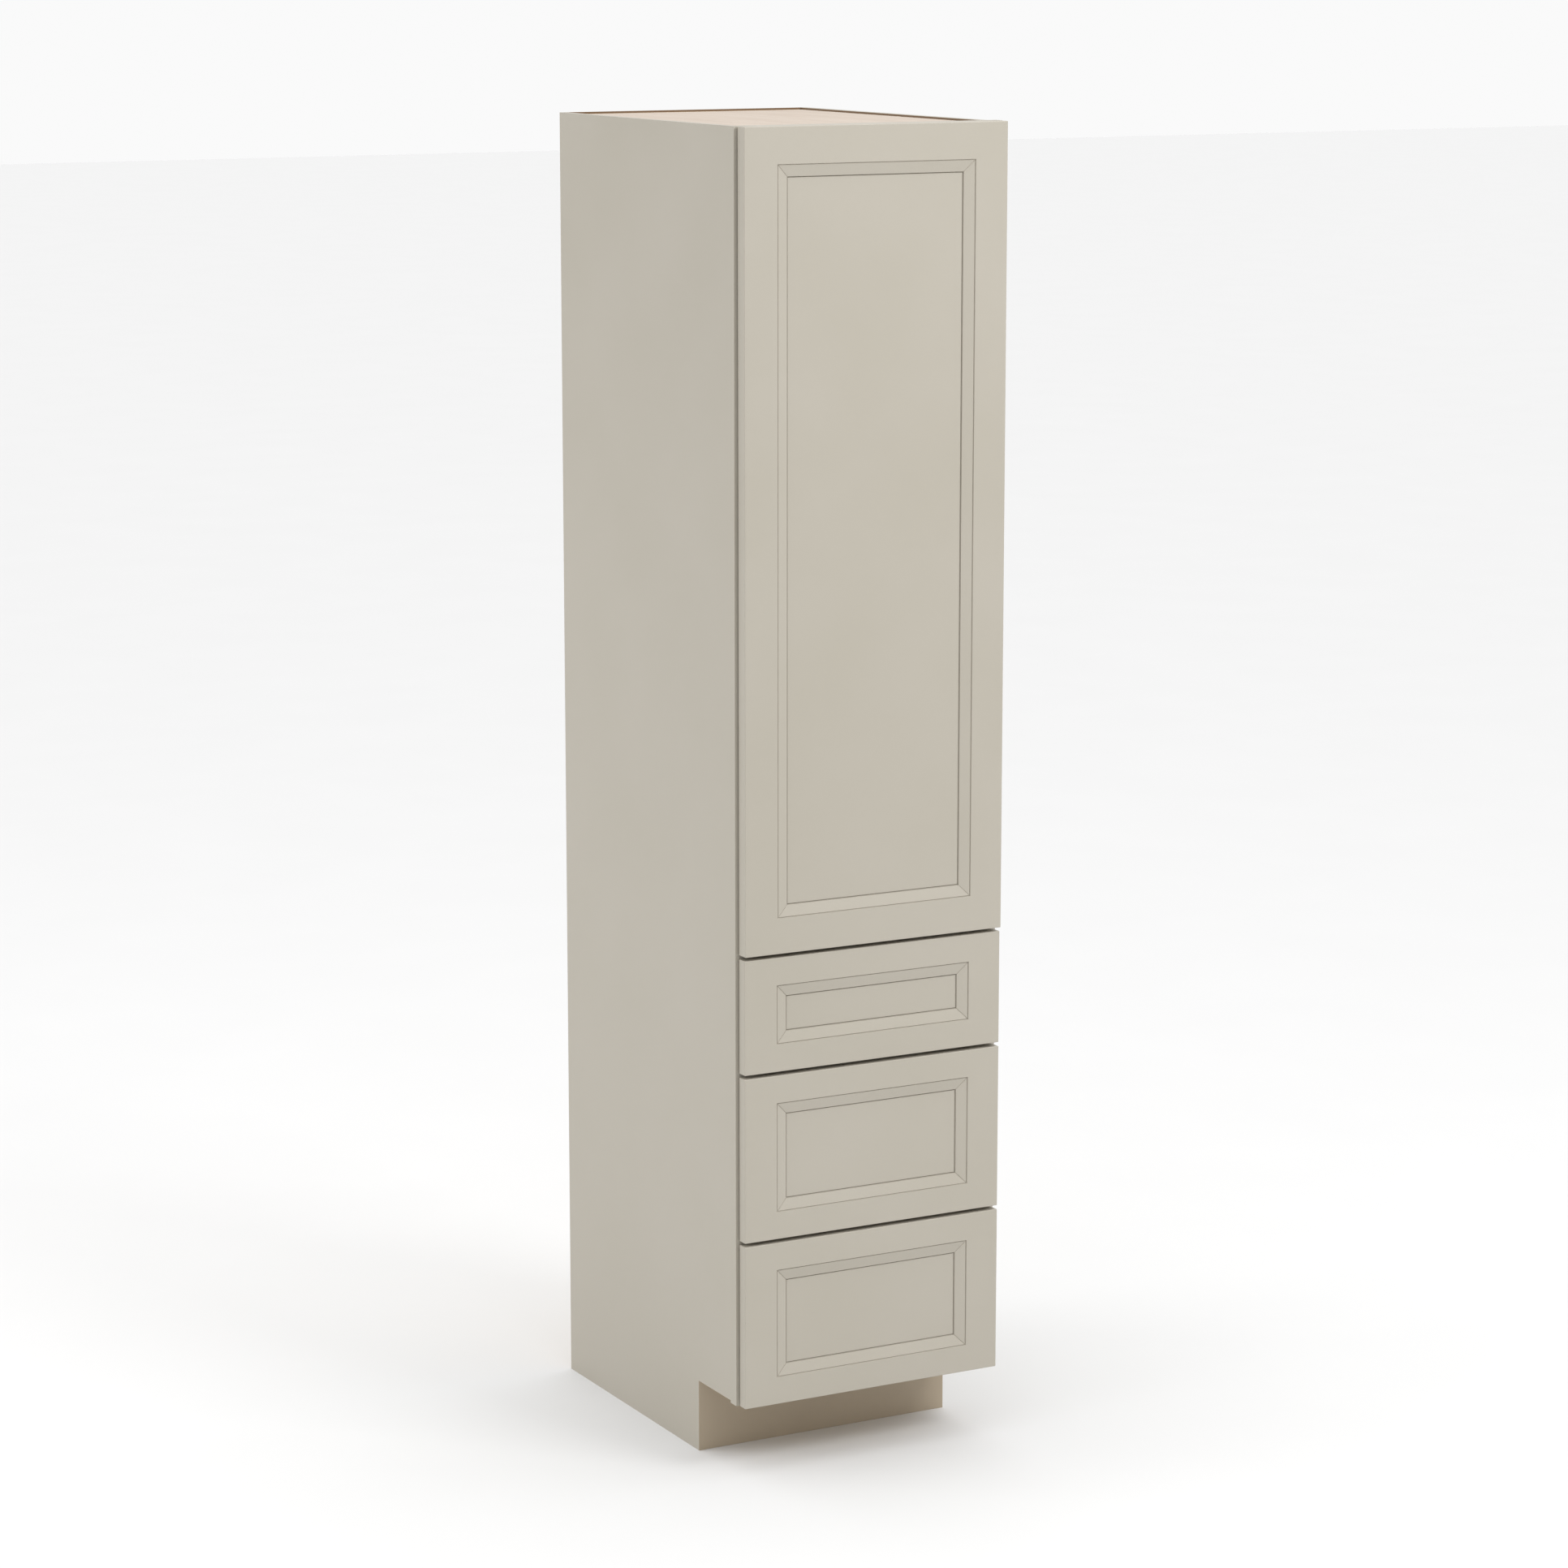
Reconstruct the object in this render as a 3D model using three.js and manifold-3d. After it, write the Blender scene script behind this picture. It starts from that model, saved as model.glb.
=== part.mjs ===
// Pantry cabinet: a face-frame cabinet with one tall door over three drawers.
// Millimetres. +X is to the right, +Y to the back, +Z up; the origin is the bottom centre of the whole.
import * as THREE from "three";
import { mergeVertices } from "three/addons/utils/BufferGeometryUtils.js";
import Module from "manifold-3d";

const wasm = await Module();
wasm.setup();

// Overall sizes
const cabinetHeight = 2133.6;
const cabinetDepth = 609.6; // from the front of the face frame to the back
const carcassWidth = 457.2;
const rightOverhang = 15.875; // the face frame runs this far past the right side panel

// Boards and sheets
const sideThickness = 12.7;
const topThickness = 12.7;
const deckThickness = 12.7;
const fixedShelfThickness = 19.05;
const shelfThickness = 19.05;
const backThickness = 4.8;
const hangingRailThickness = 12.7;
const hangingRailHeight = 88.9;
const toeThickness = 12.7;
const dadoDepth = 4; // how far a horizontal board is housed in each side panel
const rabbetDepth = 6.4; // how far the back is housed in each side panel
const topRecess = 3.2; // the top panel lies this far below the rims of the sides and back
const glueGap = 0.1; // clearance of a glued or screwed butt joint
const housingGap = 0.15; // clearance of a board in its dado, groove or rabbet

// Face frame
const frameThickness = 19.05;
const stileWidth = 38.1;
const railWidth = 38.1;
const toeHeight = 114.3; // from the floor to the underside of the face frame
const toeSetback = 130.2; // from the front of the face frame to the toe board
const toeNotchRise = 4; // the notch in each side ends this far above the face frame's underside

// Door and drawer fronts
const frontReveal = 4.7625; // face frame left showing beside each front
const frontGap = 6.35; // between one front and the next
const bumperGap = 3; // between a front and the face frame
const doorThickness = 22.2;
const drawerFrontThickness = 19.05;
const drawerFrontHeights = { upper: 184.15, middle: 266.7, lower: 266.7 };
const borderStile = 57.15; // flat border at the left and right of every front
const borderDoorRail = 57.15;
const borderDrawerRail = 44.45;
const quirkDepth = 1; // small step where the flat border meets the bevel
const bevelWidth = 19.05;
const bevelFoot = 5.5; // depth of the bevel's inner edge
const panelRecess = 7; // depth of the flat centre panel
const panelThickness = 6.35;
const panelGroove = 9.5; // how far the centre panel reaches into the door's frame

// Shelves and the rows of holes for their pins
const shelfCount = 3;
const shelfEndGap = 2;
const shelfFrontInset = 14; // behind the face frame
const shelfBackGap = 14; // in front of the back panel
const pinHoleRadius = 2.5;
const pinHoleDepth = 9;
const pinSpacing = 50.8;
const pinRowInset = 50; // from the face frame and from the back panel
const pinFieldInset = 140; // from the fixed shelf and from the top panel to the first and last holes
const pinClearance = 0.25;
const pinTab = { length: 11, width: 9, height: 4, bite: 0.5 }; // bite is let into the shelf
const pinSides = 8;

// Concealed hinges
const hingeCount = 3;
const hingeInset = 95; // from the door's ends to the outer hinges
const cupRadius = 17.2;
const cupDepth = 11.5;
const cupWall = 1.2;
const cupRim = { radius: 19.5, thickness: 1.2 };
const cupFromOpening = 10.9; // from the edge of the opening to the cup's centre
const cupClearance = 0.3;
const hingePlate = { thickness: 2, height: 44, edgeInset: 2.5 };
const hingeArm = { thickness: 3, height: 10, reach: 0.8 }; // reach is how far the arm enters the cup
const cupSides = 24;

// Drawer boxes and their slides
const boxDepth = 558.8;
const boxSideThickness = 12.7;
const boxBottomThickness = 6.35;
const boxBottomInset = 12.7;
const boxGroove = 6;
const boxClearBelow = 14.3;
const boxClearAbove = 36.5;
const slideThickness = 12.7; // the room beside the drawer box
const slideSetback = 4; // from the front of the face frame to the slide
const slideHeight = 38;
const slideWall = 1.5;
const slideFlange = 9;
const slideAxisHeight = 38; // above the underside of the drawer box
const slideRunningGap = 1.5; // between the two members, filled by rollers
const slideMemberInset = 5; // the drawer member is this much shorter than the box at each end
const bracket = { foot: 25, height: 30, lap: 30 };

// Places worked out from the sizes above
const frameWidth = carcassWidth + rightOverhang;
const overallDepth = cabinetDepth + bumperGap + doorThickness;
const frameLeft = -frameWidth / 2;
const frameRight = frameWidth / 2;
const sideOuterRight = frameLeft + carcassWidth;
const innerLeft = frameLeft + sideThickness;
const innerRight = sideOuterRight - sideThickness;
const frameFront = -overallDepth / 2 + bumperGap + doorThickness;
const frameBack = frameFront + frameThickness;
const cabinetBack = overallDepth / 2;
const backInner = cabinetBack - backThickness;
const openingRight = frameRight - stileWidth;
const openingHalf = openingRight;
const frontHalf = frameRight - frontReveal;
const frontWidth = 2 * frontHalf;
const frontsBack = frameFront - bumperGap;
const topLevel = cabinetHeight - topRecess;

// Levels of the fronts, from the lowest drawer up to the door
const lowerFront = { bottom: toeHeight, top: toeHeight + drawerFrontHeights.lower };
const middleFront = stackedOn(lowerFront, drawerFrontHeights.middle);
const upperFront = stackedOn(middleFront, drawerFrontHeights.upper);
const doorBottom = upperFront.top + frontGap;
const doorHeight = cabinetHeight - doorBottom;

// Levels of the face frame's rails; the inner ones are centred on the gaps between the fronts
const bottomRail = { bottom: toeHeight, top: toeHeight + railWidth };
const lowerDrawerRail = railBehindGap(lowerFront.top);
const upperDrawerRail = railBehindGap(middleFront.top);
const middleRail = railBehindGap(upperFront.top);
const topRail = { bottom: cabinetHeight - railWidth, top: cabinetHeight };
const deckTop = bottomRail.top;
const fixedShelfTop = middleRail.top;

const axisX = new THREE.Vector3(1, 0, 0);
const axisY = new THREE.Vector3(0, 1, 0);
const axisZ = new THREE.Vector3(0, 0, 1);

const finishes = {
  paint: { color: 0xc4bdac, roughness: 0.45, metalness: 0 },
  maplePly: { color: 0xe4d2bc, roughness: 0.5, metalness: 0 },
  maple: { color: 0xdcc3a0, roughness: 0.5, metalness: 0 },
  backSheet: { color: 0xd8c4a6, roughness: 0.6, metalness: 0 },
  zinc: { color: 0xb9bcc0, roughness: 0.35, metalness: 1 },
  nickel: { color: 0xc4c2bd, roughness: 0.25, metalness: 1 },
};

const cabinet = new THREE.Group();

function stackedOn(below, height) {
  const bottom = below.top + frontGap;
  return { bottom, top: bottom + height };
}

function railBehindGap(frontTop) {
  const middle = frontTop + frontGap / 2;
  return { bottom: middle - railWidth / 2, top: middle + railWidth / 2 };
}

function addPiece(parent, name, geometry, finish) {
  const piece = new THREE.Mesh(geometry, new THREE.MeshStandardMaterial(finishes[finish]));
  piece.name = name;
  parent.add(piece);
  return piece;
}

// A plain board between two corners.
function addBoard(parent, name, low, high, finish) {
  const size = high.clone().sub(low);
  const board = addPiece(parent, name, new THREE.BoxGeometry(size.x, size.y, size.z), finish);
  board.position.copy(low).add(high).multiplyScalar(0.5);
  return board;
}

function boxBetween(x0, x1, y0, y1, z0, z1) {
  const block = new THREE.BoxGeometry(x1 - x0, y1 - y0, z1 - z0);
  return block.translate((x0 + x1) / 2, (y0 + y1) / 2, (z0 + z1) / 2);
}

// Turns a piece so that its own X and Y run along two directions of the cabinet.
function turnTo(piece, alongX, alongY) {
  const alongZ = new THREE.Vector3().crossVectors(alongX, alongY);
  const turned = new THREE.Matrix4().makeBasis(alongX, alongY, alongZ);
  piece.quaternion.setFromRotationMatrix(turned);
}

function solidOf(geometry) {
  const bare = geometry.index ? geometry.toNonIndexed() : geometry.clone();
  bare.deleteAttribute("normal");
  bare.deleteAttribute("uv");
  const merged = mergeVertices(bare, 1e-4);
  const mesh = new wasm.Mesh({
    numProp: 3,
    vertProperties: merged.attributes.position.array,
    triVerts: new Uint32Array(merged.index.array),
  });
  return new wasm.Manifold(mesh);
}

function geometryOf(solid) {
  const mesh = solid.getMesh();
  const geometry = new THREE.BufferGeometry();
  geometry.setAttribute("position", new THREE.BufferAttribute(mesh.vertProperties, 3));
  geometry.setIndex(new THREE.BufferAttribute(mesh.triVerts, 1));
  const flat = geometry.toNonIndexed();
  flat.computeVertexNormals();
  return flat;
}

function cut(blank, tools) {
  const rest = tools.reduce((solid, tool) => solid.subtract(solidOf(tool)), solidOf(blank));
  return geometryOf(rest);
}

function join(blocks) {
  const whole = blocks.map(solidOf).reduce((solid, block) => solid.add(block));
  return geometryOf(whole);
}

function extruded(points, length) {
  const outline = new THREE.Shape(points.map(([x, y]) => new THREE.Vector2(x, y)));
  return new THREE.ExtrudeGeometry(outline, { depth: length, bevelEnabled: false });
}

// Heights of the shelf pin holes
function pinLevels() {
  const first = fixedShelfTop + pinFieldInset;
  const last = topLevel - topThickness - pinFieldInset;
  const steps = Math.floor((last - first) / pinSpacing);
  return Array.from({ length: steps + 1 }, (_, step) => first + step * pinSpacing);
}

function pinRows() {
  return [frameBack + pinRowInset, backInner - pinRowInset];
}

// A side panel is made for the left, with its outer face on x = 0, and is mirrored for the right.
function sidePanelGeometry() {
  const toeFront = frameFront + toeSetback;
  const front = frameBack + glueGap;
  const notchTop = toeHeight + toeNotchRise;
  const outline = [
    [toeFront, 0],
    [cabinetBack, 0],
    [cabinetBack, cabinetHeight],
    [front, cabinetHeight],
    [front, notchTop],
    [toeFront, notchTop],
  ];
  const blank = extruded(outline, sideThickness);
  blank.applyMatrix4(new THREE.Matrix4().makeBasis(axisY, axisZ, axisX));
  const housing = sideThickness - dadoDepth;
  const beyond = sideThickness + 1;
  const dado = (top, thickness) =>
    boxBetween(housing, beyond, front - 1, backInner + 1, top - thickness - housingGap, top + housingGap);
  const tools = [
    dado(deckTop, deckThickness),
    dado(fixedShelfTop, fixedShelfThickness),
    dado(topLevel, topThickness),
    boxBetween(
      sideThickness - rabbetDepth,
      beyond,
      backInner - housingGap,
      cabinetBack + 1,
      -1,
      cabinetHeight + 1,
    ),
  ];
  for (const level of pinLevels()) {
    for (const row of pinRows()) {
      const hole = new THREE.CylinderGeometry(pinHoleRadius, pinHoleRadius, pinHoleDepth + 1, pinSides);
      hole.rotateZ(Math.PI / 2);
      hole.translate(sideThickness - pinHoleDepth / 2 + 0.5, row, level);
      tools.push(hole);
    }
  }
  return cut(blank, tools);
}

function addCarcass() {
  const left = addPiece(cabinet, "left_side_panel", sidePanelGeometry(), "paint");
  left.position.x = frameLeft;
  const right = addPiece(cabinet, "right_side_panel", sidePanelGeometry(), "paint");
  right.position.x = sideOuterRight;
  right.scale.x = -1;

  const reach = dadoDepth - housingGap;
  const housedLeft = innerLeft - reach;
  const housedRight = innerRight + reach;
  const housedBoard = (name, top, thickness, finish) =>
    addBoard(
      cabinet,
      name,
      new THREE.Vector3(housedLeft, frameBack + glueGap, top - thickness),
      new THREE.Vector3(housedRight, backInner - glueGap, top),
      finish,
    );
  housedBoard("top_panel", topLevel, topThickness, "maplePly");
  housedBoard("bottom_deck", deckTop, deckThickness, "maplePly");
  housedBoard("fixed_shelf", fixedShelfTop, fixedShelfThickness, "maplePly");

  const backReach = rabbetDepth - housingGap;
  addBoard(
    cabinet,
    "back_panel",
    new THREE.Vector3(innerLeft - backReach, backInner, 0),
    new THREE.Vector3(innerRight + backReach, cabinetBack, cabinetHeight),
    "backSheet",
  );
  const toeFront = frameFront + toeSetback;
  addBoard(
    cabinet,
    "toe_kick_board",
    new THREE.Vector3(innerLeft + glueGap, toeFront, 0),
    new THREE.Vector3(innerRight - glueGap, toeFront + toeThickness, deckTop - deckThickness - glueGap),
    "paint",
  );
  const hangingRail = (name, bottom) =>
    addBoard(
      cabinet,
      name,
      new THREE.Vector3(innerLeft + glueGap, backInner - hangingRailThickness - glueGap, bottom),
      new THREE.Vector3(innerRight - glueGap, backInner - glueGap, bottom + hangingRailHeight),
      "maplePly",
    );
  hangingRail("upper_hanging_rail", topLevel - topThickness - glueGap - hangingRailHeight);
  hangingRail("lower_hanging_rail", fixedShelfTop + glueGap);
}

function addFaceFrame() {
  const stile = (name, left) =>
    addBoard(
      cabinet,
      name,
      new THREE.Vector3(left, frameFront, toeHeight),
      new THREE.Vector3(left + stileWidth, frameBack, cabinetHeight),
      "paint",
    );
  stile("frame_left_stile", frameLeft);
  stile("frame_right_stile", frameRight - stileWidth);
  const rail = (name, level) =>
    addBoard(
      cabinet,
      name,
      new THREE.Vector3(glueGap - openingHalf, frameFront, level.bottom),
      new THREE.Vector3(openingHalf - glueGap, frameBack, level.top),
      "paint",
    );
  rail("frame_top_rail", topRail);
  rail("frame_middle_rail", middleRail);
  rail("frame_upper_drawer_rail", upperDrawerRail);
  rail("frame_lower_drawer_rail", lowerDrawerRail);
  rail("frame_bottom_rail", bottomRail);
}

// One shelf with the four pins that it stands on; each pin has a peg in a side panel and a flat tab.
function shelfGeometry(pinLevel) {
  const left = innerLeft + shelfEndGap;
  const right = innerRight - shelfEndGap;
  const front = frameBack + shelfFrontInset;
  const back = backInner - shelfBackGap;
  const underside = pinLevel + pinTab.height / 2;
  const blocks = [boxBetween(left, right, front, back, underside, underside + shelfThickness)];
  const pegRadius = pinHoleRadius - pinClearance;
  const pegReach = pinHoleDepth - 1;
  const pegLap = 3; // how far a peg runs on into its tab
  for (const row of pinRows()) {
    for (const [face, inwards] of [[innerLeft, 1], [innerRight, -1]]) {
      const peg = new THREE.CylinderGeometry(pegRadius, pegRadius, pegReach + pegLap, pinSides);
      peg.rotateZ(Math.PI / 2);
      peg.translate(face + (inwards * (pegLap - pegReach)) / 2, row, pinLevel);
      const ends = [face + inwards * pinClearance, face + inwards * pinTab.length];
      const tab = boxBetween(
        Math.min(...ends),
        Math.max(...ends),
        row - pinTab.width / 2,
        row + pinTab.width / 2,
        pinLevel - pinTab.height / 2,
        underside + pinTab.bite,
      );
      blocks.push(peg, tab);
    }
  }
  return join(blocks);
}

function addShelves() {
  const levels = pinLevels();
  for (let index = 0; index < shelfCount; index += 1) {
    const share = (index + 0.5) / shelfCount;
    const level = levels[Math.round(share * (levels.length - 1))];
    addPiece(cabinet, `adjustable_shelf_${index + 1}`, shelfGeometry(level), "maplePly");
  }
}

// A board with both ends mitred, on its own X; the profile is [distance in from the edge, depth].
function mitredBoardGeometry(profile, length) {
  const count = profile.length;
  const outline = profile.map(([across, depth]) => new THREE.Vector2(across, depth));
  const points = [];
  for (const corner of outline) {
    points.push(corner.x + glueGap, corner.x, corner.y);
  }
  for (const corner of outline) {
    points.push(length - corner.x - glueGap, corner.x, corner.y);
  }
  const faces = [];
  for (const [a, b, c] of THREE.ShapeUtils.triangulateShape(outline, [])) {
    faces.push(a, c, b, a + count, b + count, c + count);
  }
  for (let here = 0; here < count; here += 1) {
    const next = (here + 1) % count;
    faces.push(here, next, next + count, here, next + count, here + count);
  }
  const geometry = new THREE.BufferGeometry();
  geometry.setAttribute("position", new THREE.Float32BufferAttribute(points, 3));
  geometry.setIndex(faces);
  const flat = geometry.toNonIndexed();
  flat.computeVertexNormals();
  return flat;
}

function doorProfile(border) {
  const inner = border + bevelWidth;
  const grooveFloor = inner - panelGroove;
  const panelFront = panelRecess - housingGap;
  const panelBack = panelRecess + panelThickness + housingGap;
  return [
    [0, 0],
    [border, 0],
    [border, quirkDepth],
    [inner, bevelFoot],
    [inner, panelFront],
    [grooveFloor, panelFront],
    [grooveFloor, panelBack],
    [inner, panelBack],
    [inner, doorThickness],
    [0, doorThickness],
  ];
}

function hingeLevels() {
  const lowest = doorBottom + hingeInset;
  const step = (doorHeight - 2 * hingeInset) / (hingeCount - 1);
  return Array.from({ length: hingeCount }, (_, index) => lowest + index * step);
}

function cupCentreX() {
  return openingRight + cupFromOpening;
}

// The door's own frame is drawn on its front face, with its lower left corner at the group's origin.
function addDoor() {
  const door = new THREE.Group();
  door.position.set(-frontHalf, frontsBack - doorThickness, doorBottom);
  cabinet.add(door);

  const members = [
    ["door_bottom_rail", borderDoorRail, frontWidth, [frontWidth, 0, 0], [-1, 0, 0], [0, 0, 1]],
    ["door_top_rail", borderDoorRail, frontWidth, [0, 0, doorHeight], [1, 0, 0], [0, 0, -1]],
    ["door_free_stile", borderStile, doorHeight, [0, 0, 0], [0, 0, 1], [1, 0, 0]],
    ["door_hinge_stile", borderStile, doorHeight, [frontWidth, 0, doorHeight], [0, 0, -1], [-1, 0, 0]],
  ];
  for (const [name, border, length, corner, along, inwards] of members) {
    let geometry = mitredBoardGeometry(doorProfile(border), length);
    if (name === "door_hinge_stile") {
      geometry = cut(geometry, hingeLevels().map(hingeBore));
    }
    const member = addPiece(door, name, geometry, "paint");
    member.position.set(...corner);
    turnTo(member, new THREE.Vector3(...along), new THREE.Vector3(...inwards));
  }

  const insetX = borderStile + bevelWidth - panelGroove + housingGap;
  const insetZ = borderDoorRail + bevelWidth - panelGroove + housingGap;
  addBoard(
    door,
    "door_panel",
    new THREE.Vector3(insetX, panelRecess, insetZ),
    new THREE.Vector3(frontWidth - insetX, panelRecess + panelThickness, doorHeight - insetZ),
    "paint",
  );
}

// The hole for a hinge cup, in the hinge stile's own frame: X down from the top, Y in from the edge.
function hingeBore(level) {
  const depth = cupDepth + cupClearance;
  const radius = cupRadius + cupClearance;
  const bore = new THREE.CylinderGeometry(radius, radius, depth + 1, cupSides);
  bore.rotateX(Math.PI / 2);
  const fromTop = cabinetHeight - level;
  const fromEdge = frontHalf - cupCentreX();
  return bore.translate(fromTop, fromEdge, doorThickness - depth / 2 + 0.5);
}

function addHinges() {
  const rimHeight = cupDepth + cupRim.thickness;
  const section = [
    [0, 0],
    [cupRadius, 0],
    [cupRadius, cupDepth + cupClearance],
    [cupRim.radius, cupDepth + cupClearance],
    [cupRim.radius, rimHeight + cupClearance],
    [cupRadius - cupWall, rimHeight + cupClearance],
    [cupRadius - cupWall, cupWall],
    [0, cupWall],
  ].map(([radius, height]) => new THREE.Vector2(radius, height));
  hingeLevels().forEach((level, index) => {
    const cup = addPiece(
      cabinet,
      `hinge_cup_${index + 1}`,
      new THREE.LatheGeometry(section, cupSides),
      "nickel",
    );
    cup.position.set(cupCentreX(), frontsBack - cupDepth, level);
    const mounted = openingRight - glueGap;
    const plate = boxBetween(
      mounted - hingePlate.thickness,
      mounted,
      frameFront + hingePlate.edgeInset,
      frameBack - hingePlate.edgeInset,
      level - hingePlate.height / 2,
      level + hingePlate.height / 2,
    );
    const arm = boxBetween(
      mounted - hingeArm.thickness,
      mounted - glueGap,
      frontsBack - hingeArm.reach,
      frameBack - 2 * hingePlate.edgeInset,
      level - hingeArm.height / 2,
      level + hingeArm.height / 2,
    );
    addPiece(cabinet, `hinge_plate_${index + 1}`, join([plate, arm]), "nickel");
  });
}

// A drawer front in one piece: a slab lofted through rectangles, from its back to its sunk panel.
function drawerFrontGeometry(height) {
  const steps = [
    [0, 0, drawerFrontThickness],
    [0, 0, 0],
    [borderStile, borderDrawerRail, 0],
    [borderStile, borderDrawerRail, quirkDepth],
    [borderStile + bevelWidth, borderDrawerRail + bevelWidth, bevelFoot],
    [borderStile + bevelWidth, borderDrawerRail + bevelWidth, panelRecess],
  ];
  const points = [];
  for (const [insetX, insetZ, depth] of steps) {
    const right = frontHalf - insetX;
    const top = height - insetZ;
    points.push(-right, depth, insetZ, right, depth, insetZ, right, depth, top, -right, depth, top);
  }
  const faces = [0, 2, 1, 0, 3, 2];
  for (let ring = 0; ring < steps.length - 1; ring += 1) {
    for (let corner = 0; corner < 4; corner += 1) {
      const here = ring * 4 + corner;
      const next = ring * 4 + ((corner + 1) % 4);
      faces.push(here, next, next + 4, here, next + 4, here + 4);
    }
  }
  const last = (steps.length - 1) * 4;
  faces.push(last, last + 1, last + 2, last, last + 2, last + 3);
  const geometry = new THREE.BufferGeometry();
  geometry.setAttribute("position", new THREE.Float32BufferAttribute(points, 3));
  geometry.setIndex(faces);
  const flat = geometry.toNonIndexed();
  flat.computeVertexNormals();
  return flat;
}

// A drawer board with a groove for the bottom; its own X is the thickness, from the outer face in.
function groovedBoardGeometry(height, length) {
  const grooveFloor = boxSideThickness - boxGroove;
  const grooveBottom = boxBottomInset - housingGap;
  const grooveTop = boxBottomInset + boxBottomThickness + housingGap;
  const outline = [
    [0, 0],
    [boxSideThickness, 0],
    [boxSideThickness, grooveBottom],
    [grooveFloor, grooveBottom],
    [grooveFloor, grooveTop],
    [boxSideThickness, grooveTop],
    [boxSideThickness, height],
    [0, height],
  ];
  return extruded(outline, length);
}

// A C-shaped rail: its web lies on x = 0 and its flanges point along +X.
function channelOutline(height, flange) {
  const half = height / 2;
  return [
    [0, -half],
    [flange, -half],
    [flange, slideWall - half],
    [slideWall, slideWall - half],
    [slideWall, half - slideWall],
    [flange, half - slideWall],
    [flange, half],
    [0, half],
  ];
}

const boxHalf = openingHalf - slideThickness;
const boxLength = boxDepth - glueGap;
const boxFront = frontsBack + glueGap;
const boxBack = boxFront + boxLength;

// The cabinet member with its rear bracket, made for the left and centred on its own level.
function cabinetRailGeometry() {
  const front = frameFront + slideSetback;
  const rail = extruded(channelOutline(slideHeight, slideFlange), boxBack - front);
  rail.applyMatrix4(new THREE.Matrix4().makeBasis(axisX, axisZ, axisY.clone().negate()));
  rail.translate(0, boxBack, 0);
  const half = bracket.height / 2;
  const bracketEnd = backInner - glueGap;
  const leg = boxBetween(0, slideWall, boxBack - bracket.lap, bracketEnd, -half, half);
  const foot = boxBetween(0, bracket.foot, bracketEnd - slideWall, bracketEnd, -half, half);
  return join([rail, leg, foot]);
}

// The drawer member, made for the left: its web lies on the drawer box and its flanges point outwards.
function drawerRailGeometry() {
  const height = slideHeight - 2 * (slideWall + slideRunningGap);
  const flange = slideThickness - slideWall - slideRunningGap;
  const rail = extruded(channelOutline(height, flange), boxLength - 2 * slideMemberInset);
  rail.applyMatrix4(new THREE.Matrix4().makeBasis(axisX.clone().negate(), axisZ, axisY));
  return rail;
}

function addDrawer(name, front, floorRail, ceilingRail) {
  const boxBottom = floorRail.top + boxClearBelow;
  const boxHeight = ceilingRail.bottom - boxClearAbove - boxBottom;
  const drawer = new THREE.Group();
  drawer.position.z = boxBottom;
  cabinet.add(drawer);

  const face = addPiece(
    drawer,
    `${name}_drawer_front`,
    drawerFrontGeometry(front.top - front.bottom),
    "paint",
  );
  face.position.set(0, frontsBack - drawerFrontThickness, front.bottom - boxBottom);

  const innerHalf = boxHalf - boxSideThickness;
  const crossHalf = innerHalf - glueGap;
  const boards = [
    ["box_left", boxLength, [-boxHalf, boxBack, 0], [1, 0, 0]],
    ["box_right", boxLength, [boxHalf, boxFront, 0], [-1, 0, 0]],
    ["box_front", 2 * crossHalf, [-crossHalf, boxFront, 0], [0, 1, 0]],
    ["box_back", 2 * crossHalf, [crossHalf, boxBack, 0], [0, -1, 0]],
  ];
  for (const [part, length, corner, inwards] of boards) {
    const board = addPiece(
      drawer,
      `${name}_drawer_${part}`,
      groovedBoardGeometry(boxHeight, length),
      "maple",
    );
    board.position.set(...corner);
    turnTo(board, new THREE.Vector3(...inwards), axisZ);
  }

  const housed = boxGroove - housingGap;
  const bottomFront = boxFront + boxSideThickness - housed;
  const bottomBack = boxBack - boxSideThickness + housed;
  addBoard(
    drawer,
    `${name}_drawer_box_bottom`,
    new THREE.Vector3(-innerHalf - housed, bottomFront, boxBottomInset),
    new THREE.Vector3(innerHalf + housed, bottomBack, boxBottomInset + boxBottomThickness),
    "maplePly",
  );

  for (const [side, mirror] of [["left", 1], ["right", -1]]) {
    const cabinetRail = addPiece(cabinet, `${name}_${side}_cabinet_rail`, cabinetRailGeometry(), "zinc");
    cabinetRail.position.set(mirror * (glueGap - openingHalf), 0, boxBottom + slideAxisHeight);
    cabinetRail.scale.x = mirror;
    const drawerRail = addPiece(drawer, `${name}_${side}_drawer_rail`, drawerRailGeometry(), "zinc");
    drawerRail.position.set(
      mirror * (-boxHalf - glueGap),
      boxFront + slideMemberInset,
      slideAxisHeight,
    );
    drawerRail.scale.x = mirror;
  }
}

addCarcass();
addFaceFrame();
addShelves();
addDoor();
addHinges();
addDrawer("upper", upperFront, upperDrawerRail, middleRail);
addDrawer("middle", middleFront, lowerDrawerRail, upperDrawerRail);
addDrawer("lower", lowerFront, bottomRail, lowerDrawerRail);

export default cabinet;
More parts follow.
